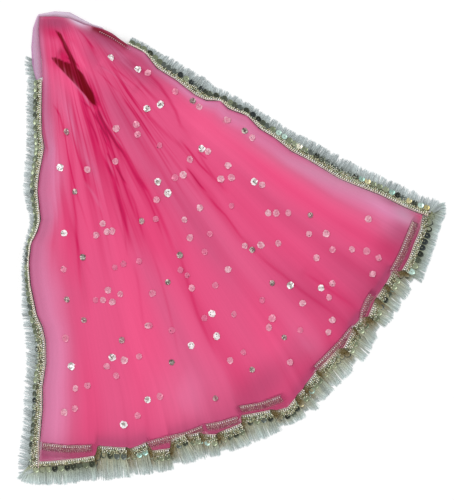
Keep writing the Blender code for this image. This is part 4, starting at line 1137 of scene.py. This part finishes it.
def pleatRun(k):
    pleat = pleats[k]
    start, end = arcOf(pleat[0]), arcOf(pleat[1])
    isFirst, isLast = k == 0, k == len(pleats) - 1
    highStart, highEnd = k > lowestPleat, k < lowestPleat
    under = min(8.0, 0.4 * (end - start)) + 3.0
    first = start - (10.0 if isFirst else 0.0 if highStart else under)
    last = end + (9.0 if isLast else 0.0 if highEnd else under)
    arcs = np.linspace(first, last, max(3, int((last - first) / 3.0)))
    radius = edgeRadius(pleat, np.clip(arcs, start, end))
    # under its neighbour the braid follows the neighbour's edge of the net
    if not isFirst and not highStart:
        near = arcOf(pleats[k - 1][1])
        radius += (pleats[k - 1][2][-1] - radius) * np.clip((start - arcs) / (start - near), 0, 1)
    if not isLast and not highEnd:
        near = arcOf(pleats[k + 1][0])
        radius += (pleats[k + 1][2][0] - radius) * np.clip((arcs - end) / (near - end), 0, 1)
    share = ease((arcs - start) / (end - start))
    level = 1.0 + 3.0 * (share if highEnd else 1.0 - share if highStart else 0.0 * share)
    inner = np.column_stack([fanPoint(angleOf(arcs), radius), level])
    step = unit(np.gradient(inner[:, :2], axis=0))
    across = np.stack([step[:, 1], -step[:, 0]], axis=1)
    radial = fanPoint(angleOf(arcs), radius + 1.0) - inner[:, :2]
    across = across * np.sign(np.sum(across * radial, axis=1))[:, None]
    across = unit(0.5 * across.mean(axis=0) + 0.5 * unit(radial))
    shown = np.clip(arcs, start, end)
    if highEnd:
        lowSide = shown - start
    elif highStart:
        lowSide = end - shown
    else:
        lowSide = np.minimum(shown - start, end - shown)
    reach = np.interp(shown, [start, end], [pleat[3], pleat[4]]) - radius - braidWidth
    # painted shade on the braid, sequins and fringe at the pleat's low side, where its neighbour lies over it
    shade, warm = 0.0 * lowSide, 0.0
    if not isFirst and not isLast:
        shade, warm = 0.9 * np.exp(-lowSide / 4.0), 0.5
        reach = reach + 1.5 - 6.5 * np.exp(-lowSide / 3.5)
    run = {
        "inner": inner, "out": np.column_stack([across, np.zeros(len(arcs))]),
        "up": np.tile([0.0, 0.0, 1.0], (len(arcs), 1)), "reach": np.maximum(8.0, reach),
        "shade": shade, "sequins": pleat[5], "lean": 0.0, "warm": warm,
    }
    run.update(pleatExtras.get(k, {}))
    return run


braid, beads, sequins, strands = [], [], [], []
for k in range(len(pleats)):
    dressTrim(pleatRun(k), braid, beads, sequins, strands)
piece = joined("braidHem", braid + beads, goldThread)
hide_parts("braid_hem")
piece = joined("sequinsHem", sequins, foil, smooth=False)
piece = joined("fringeHem", strands, rayon)
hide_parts(*[f"fringe_hem_{k + 1:02d}" for k in range(len(pleats))])
print("pleated hem laid")


def tuckGroups(start, end, edge, lift):
    count = 24
    share = np.linspace(0, 1, count)
    theta = start + (end - start) * share
    radius = np.interp(share, np.linspace(0, 1, len(edge)), edge)
    out = np.column_stack([np.cos(np.radians(theta)), -np.sin(np.radians(theta)), np.zeros(count)])
    run = {
        "inner": np.column_stack([fanPoint(theta, radius), np.full(count, lift + 1.0)]), "out": out,
        "up": np.tile([0.0, 0.0, 1.0], (count, 1)), "reach": np.full(count, 9.0),
        "shade": np.zeros(count), "sequins": "g", "lean": 0.0, "veil": 0.04,
    }
    groups = []
    dressTrim(run, groups, groups, [], groups)
    return groups


for name in ("left", "middle", "right"):
    groups = sum([tuckGroups(*row[1:]) for row in tucks if row[0] == name], [])
    piece = joined("tuck" + name.capitalize(), groups, goldThread)
    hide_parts("braid_tuck_" + name)
print("tucks laid")


# butis: x, y and look, b bright on top, p paler and pink, f faint under the net, d dark
butis = [
    (-178, 284, "b"), (-138, 268, "b"), (-123, 263, "p"), (-82, 235, "p"), (-104, 215, "b"),
    (-124, 209, "b"), (-56, 221, "d"), (-46, 212, "p"), (-4, 193, "p"), (22, 176, "d"), (33, 166, "p"),
    (-170, 179, "p"), (-140, 185, "p"), (-138, 170, "p"), (-244, 175, "d"), (-254, 121, "b"),
    (-213, 118, "p"), (-42, 149, "b"), (-33, 145, "p"), (-171, 130, "p"), (-108, 100, "b"),
    (-93, 83, "b"), (-232, 85, "d"), (-3, 124, "p"), (-14, 104, "p"), (2, 106, "p"), (36, 100, "b"),
    (48, 95, "p"), (-70, 110, "p"), (-60, 133, "p"), (-190, 37, "p"), (-184, 25, "p"), (-200, 20, "p"),
    (-176, 26, "p"), (-248, 23, "b"), (-132, 41, "d"), (-110, 73, "p"), (-68, 43, "p"), (-60, 16, "p"),
    (-45, 61, "p"), (57, 53, "p"), (69, 53, "p"), (87, 53, "p"), (120, 50, "d"), (118, 22, "p"),
    (144, 22, "p"), (207, 44, "p"), (22, 4, "p"), (46, 5, "p"), (33, -2, "d"), (72, 8, "p"),
    (129, -14, "p"), (153, -2, "p"), (182, -1, "p"), (204, -4, "p"), (222, -14, "p"), (-220, -13, "d"),
    (-249, -31, "p"), (-244, -76, "d"), (-182, -62, "p"), (-190, -77, "p"), (-176, -80, "p"),
    (-164, -68, "p"), (-93, -50, "d"), (-75, -10, "d"), (-57, -59, "p"), (-3, -31, "p"),
    (90, -55, "b"), (63, -52, "d"), (108, -82, "p"), (136, -59, "b"), (148, -73, "p"), (213, -38, "p"),
    (153, -52, "p"), (-116, -67, "p"), (-27, -97, "b"), (6, -98, "p"), (-20, -131, "b"),
    (63, -104, "p"), (58, -118, "p"), (-58, -145, "b"), (-162, -137, "d"), (-123, -115, "p"),
    (-246, -134, "p"), (-218, -107, "d"), (153, -107, "p"), (147, -125, "p"), (81, -133, "d"),
    (-176, -163, "b"), (-184, -176, "p"), (-158, -167, "p"), (-136, -161, "p"), (-170, -190, "p"),
    (-237, -176, "b"), (-231, -209, "p"), (-213, -205, "p"), (-87, -170, "d"), (33, -181, "d"),
    (90, -170, "p"), (0, -167, "p"), (-123, -226, "b"), (-105, -221, "p"), (-22, -224, "d"),
    (-159, -263, "b"), (-138, -250, "p"), (-248, -245, "p"), (-232, -239, "p"),
    (-30, 22, "f"), (-38, -5, "f"), (-111, 44, "f"), (-136, -19, "f"), (-159, -23, "f"), (-172, -28, "f"),
    (-74, -32, "f"), (-64, -40, "f"), (2, 64, "f"), (-82, 106, "f"), (-6, 191, "f"), (-105, 154, "f"),
    (-87, -122, "f"), (-38, -104, "f"), (20, -155, "f"), (48, -77, "f"), (105, -122, "f"),
    (-120, -115, "f"), (-201, -77, "f"), (-22, -55, "f"),
]
# veil is the share of the net's colour over it, drawn between two ends
# the whites and greys of the silvered petals are partly their own colour and partly painted reflection, and
# the white sparks are painted glints
butiLook = {
    "b": {
        "petal": ["#f8f0f2", "#efe6e9", "#c9bcbc", "#ffffff", "#a39894"],
        "middle": ["#cfc5c1", "#ffffff", "#9b938a"],
        "spark": ["#ffffff", "#6f6862", "#4c4a45", "#e6dfd2"], "size": 1.05, "veil": (0.0, 0.10),
    },
    "p": {
        "petal": ["#f3dfe4", "#ecd0d7", "#dcbcc3", "#faeef1", "#c9a9b0"],
        "middle": ["#e0c2c9", "#f6e6ea", "#c4a5ab"],
        "spark": ["#fff6f8", "#c08f9b", "#f0dfe3"], "size": 0.98, "veil": (0.52, 0.86),
    },
    "f": {
        "petal": ["#f3dfe4", "#ecd0d7", "#c9a0aa"],
        "middle": ["#e0c2c9", "#b98f99"],
        "spark": ["#f0d5dc", "#b98f99"], "size": 0.9, "veil": (0.88, 0.97),
    },
    "d": {
        "petal": ["#9a8f86", "#6f6b60", "#c3b8ae", "#4f5046", "#83827a"],
        "middle": ["#4b4a42", "#8d948a"],
        "spark": ["#f4f0ea", "#37372f", "#c9cdbf"], "size": 0.88, "veil": (0.05, 0.35),
    },
}
butiStyle = {"petals": 8, "ring": 3.3, "middle": 2.3, "sparks": 7, "sparkSpread": 3.4}

discShape = template(bmesh.ops.create_circle, cap_ends=True, segments=9, radius=1.0)
rosettes = []
for x, y, kind in butis:
    look = butiLook[kind]
    size = look["size"] * dice.uniform(0.9, 1.1)
    high = heightAt(x, y) + 0.4
    spots, axes, colours = [], [], []
    turn, squeeze = dice.uniform(0, 6.28), dice.uniform(0.8, 1.0)
    veil = dice.uniform(*look["veil"])
    for k in range(butiStyle["petals"]):
        angle = turn + k * 2 * math.pi / butiStyle["petals"]
        away = butiStyle["ring"] * size * dice.uniform(0.85, 1.1)
        spots.append((x + squeeze * away * math.cos(angle), y + away * math.sin(angle), high + 0.06 * k))
        hinge = Vector((math.cos(angle * 2), math.sin(angle * 2), 0))
        lean = Matrix.Rotation(dice.uniform(-0.3, 0.3), 3, hinge)
        axes.append(np.array(lean) * dice.uniform(1.9, 2.5) * size)
        colours.append(rgba(dice.choice(look["petal"])))
    spots.append((x, y, high + 0.55))
    axes.append(np.eye(3) * butiStyle["middle"] * size)
    colours.append(rgba(dice.choice(look["middle"])))
    # sparks: small discs of painted glint, with darker bits, over the middle
    spread = butiStyle["sparkSpread"]
    for _ in range(butiStyle["sparks"]):
        spots.append((x + dice.uniform(-spread, spread), y + dice.uniform(-spread, spread), high + 0.75))
        axes.append(np.eye(3) * dice.uniform(0.5, 0.9))
        colours.append(rgba(dice.choice(look["spark"])))
    colours = np.array(colours)
    colours[:, :3] = toward(colours[:, :3], tint["double"], veil)
    rosettes.append(copies(discShape, (np.array(axes), np.array(spots)), colours))
# butis: clear and silvered sequins in a ring, dull enough to keep their colour from above
butiFoil = colourAndShadeMaterial("clear sequin buti", {"Roughness": 0.35, "Metallic": 0.1, "Specular IOR Level": 0.6})
piece = joined("butis", rosettes, butiFoil, smooth=False)
print("butis laid")


studio = {
    "floor": "#fbfbfb", "floorSize": 6.0, "skyStrength": 0.72, "sunStrength": 1.45, "sunSpread": 40,
    "sunTilt": (-28, -30, 0), "lens": 115.2, "cameraPlace": (-0.0045, -0.00225, 2.4),
}
# floor: matt white paper that gives back no shine
floorPaper, _, floorShader = newMaterial("white studio floor")
floorShader.inputs["Base Color"].default_value = hexColour(studio["floor"])
floorShader.inputs["Roughness"].default_value = 0.9
floorShader.inputs["Specular IOR Level"].default_value = 0.0
bpy.ops.mesh.primitive_plane_add(size=studio["floorSize"], location=(0, 0, -0.0002))
floor = bpy.context.object
floor.name = "floor"
floor.data.materials.append(floorPaper)

world = bpy.data.worlds.new("studio")
bpy.context.scene.world = world
world.use_nodes = True
world.node_tree.nodes["Background"].inputs["Color"].default_value = (1.0, 1.0, 1.0, 1.0)
world.node_tree.nodes["Background"].inputs["Strength"].default_value = studio["skyStrength"]

sunData = bpy.data.lights.new("softbox", "SUN")
sunData.energy = studio["sunStrength"]
sunData.angle = math.radians(studio["sunSpread"])
sun = bpy.data.objects.new("softbox", sunData)
sun.rotation_euler = [math.radians(turn) for turn in studio["sunTilt"]]
bpy.context.scene.collection.objects.link(sun)

cameraData = bpy.data.cameras.new("camera")
cameraData.sensor_width = 36.0
cameraData.lens = studio["lens"]
cameraData.clip_start = 0.05
camera = bpy.data.objects.new("camera", cameraData)
camera.location = studio["cameraPlace"]
bpy.context.scene.collection.objects.link(camera)
bpy.context.scene.camera = camera
bpy.context.scene.view_settings.view_transform = "Standard"

print("scene ready")
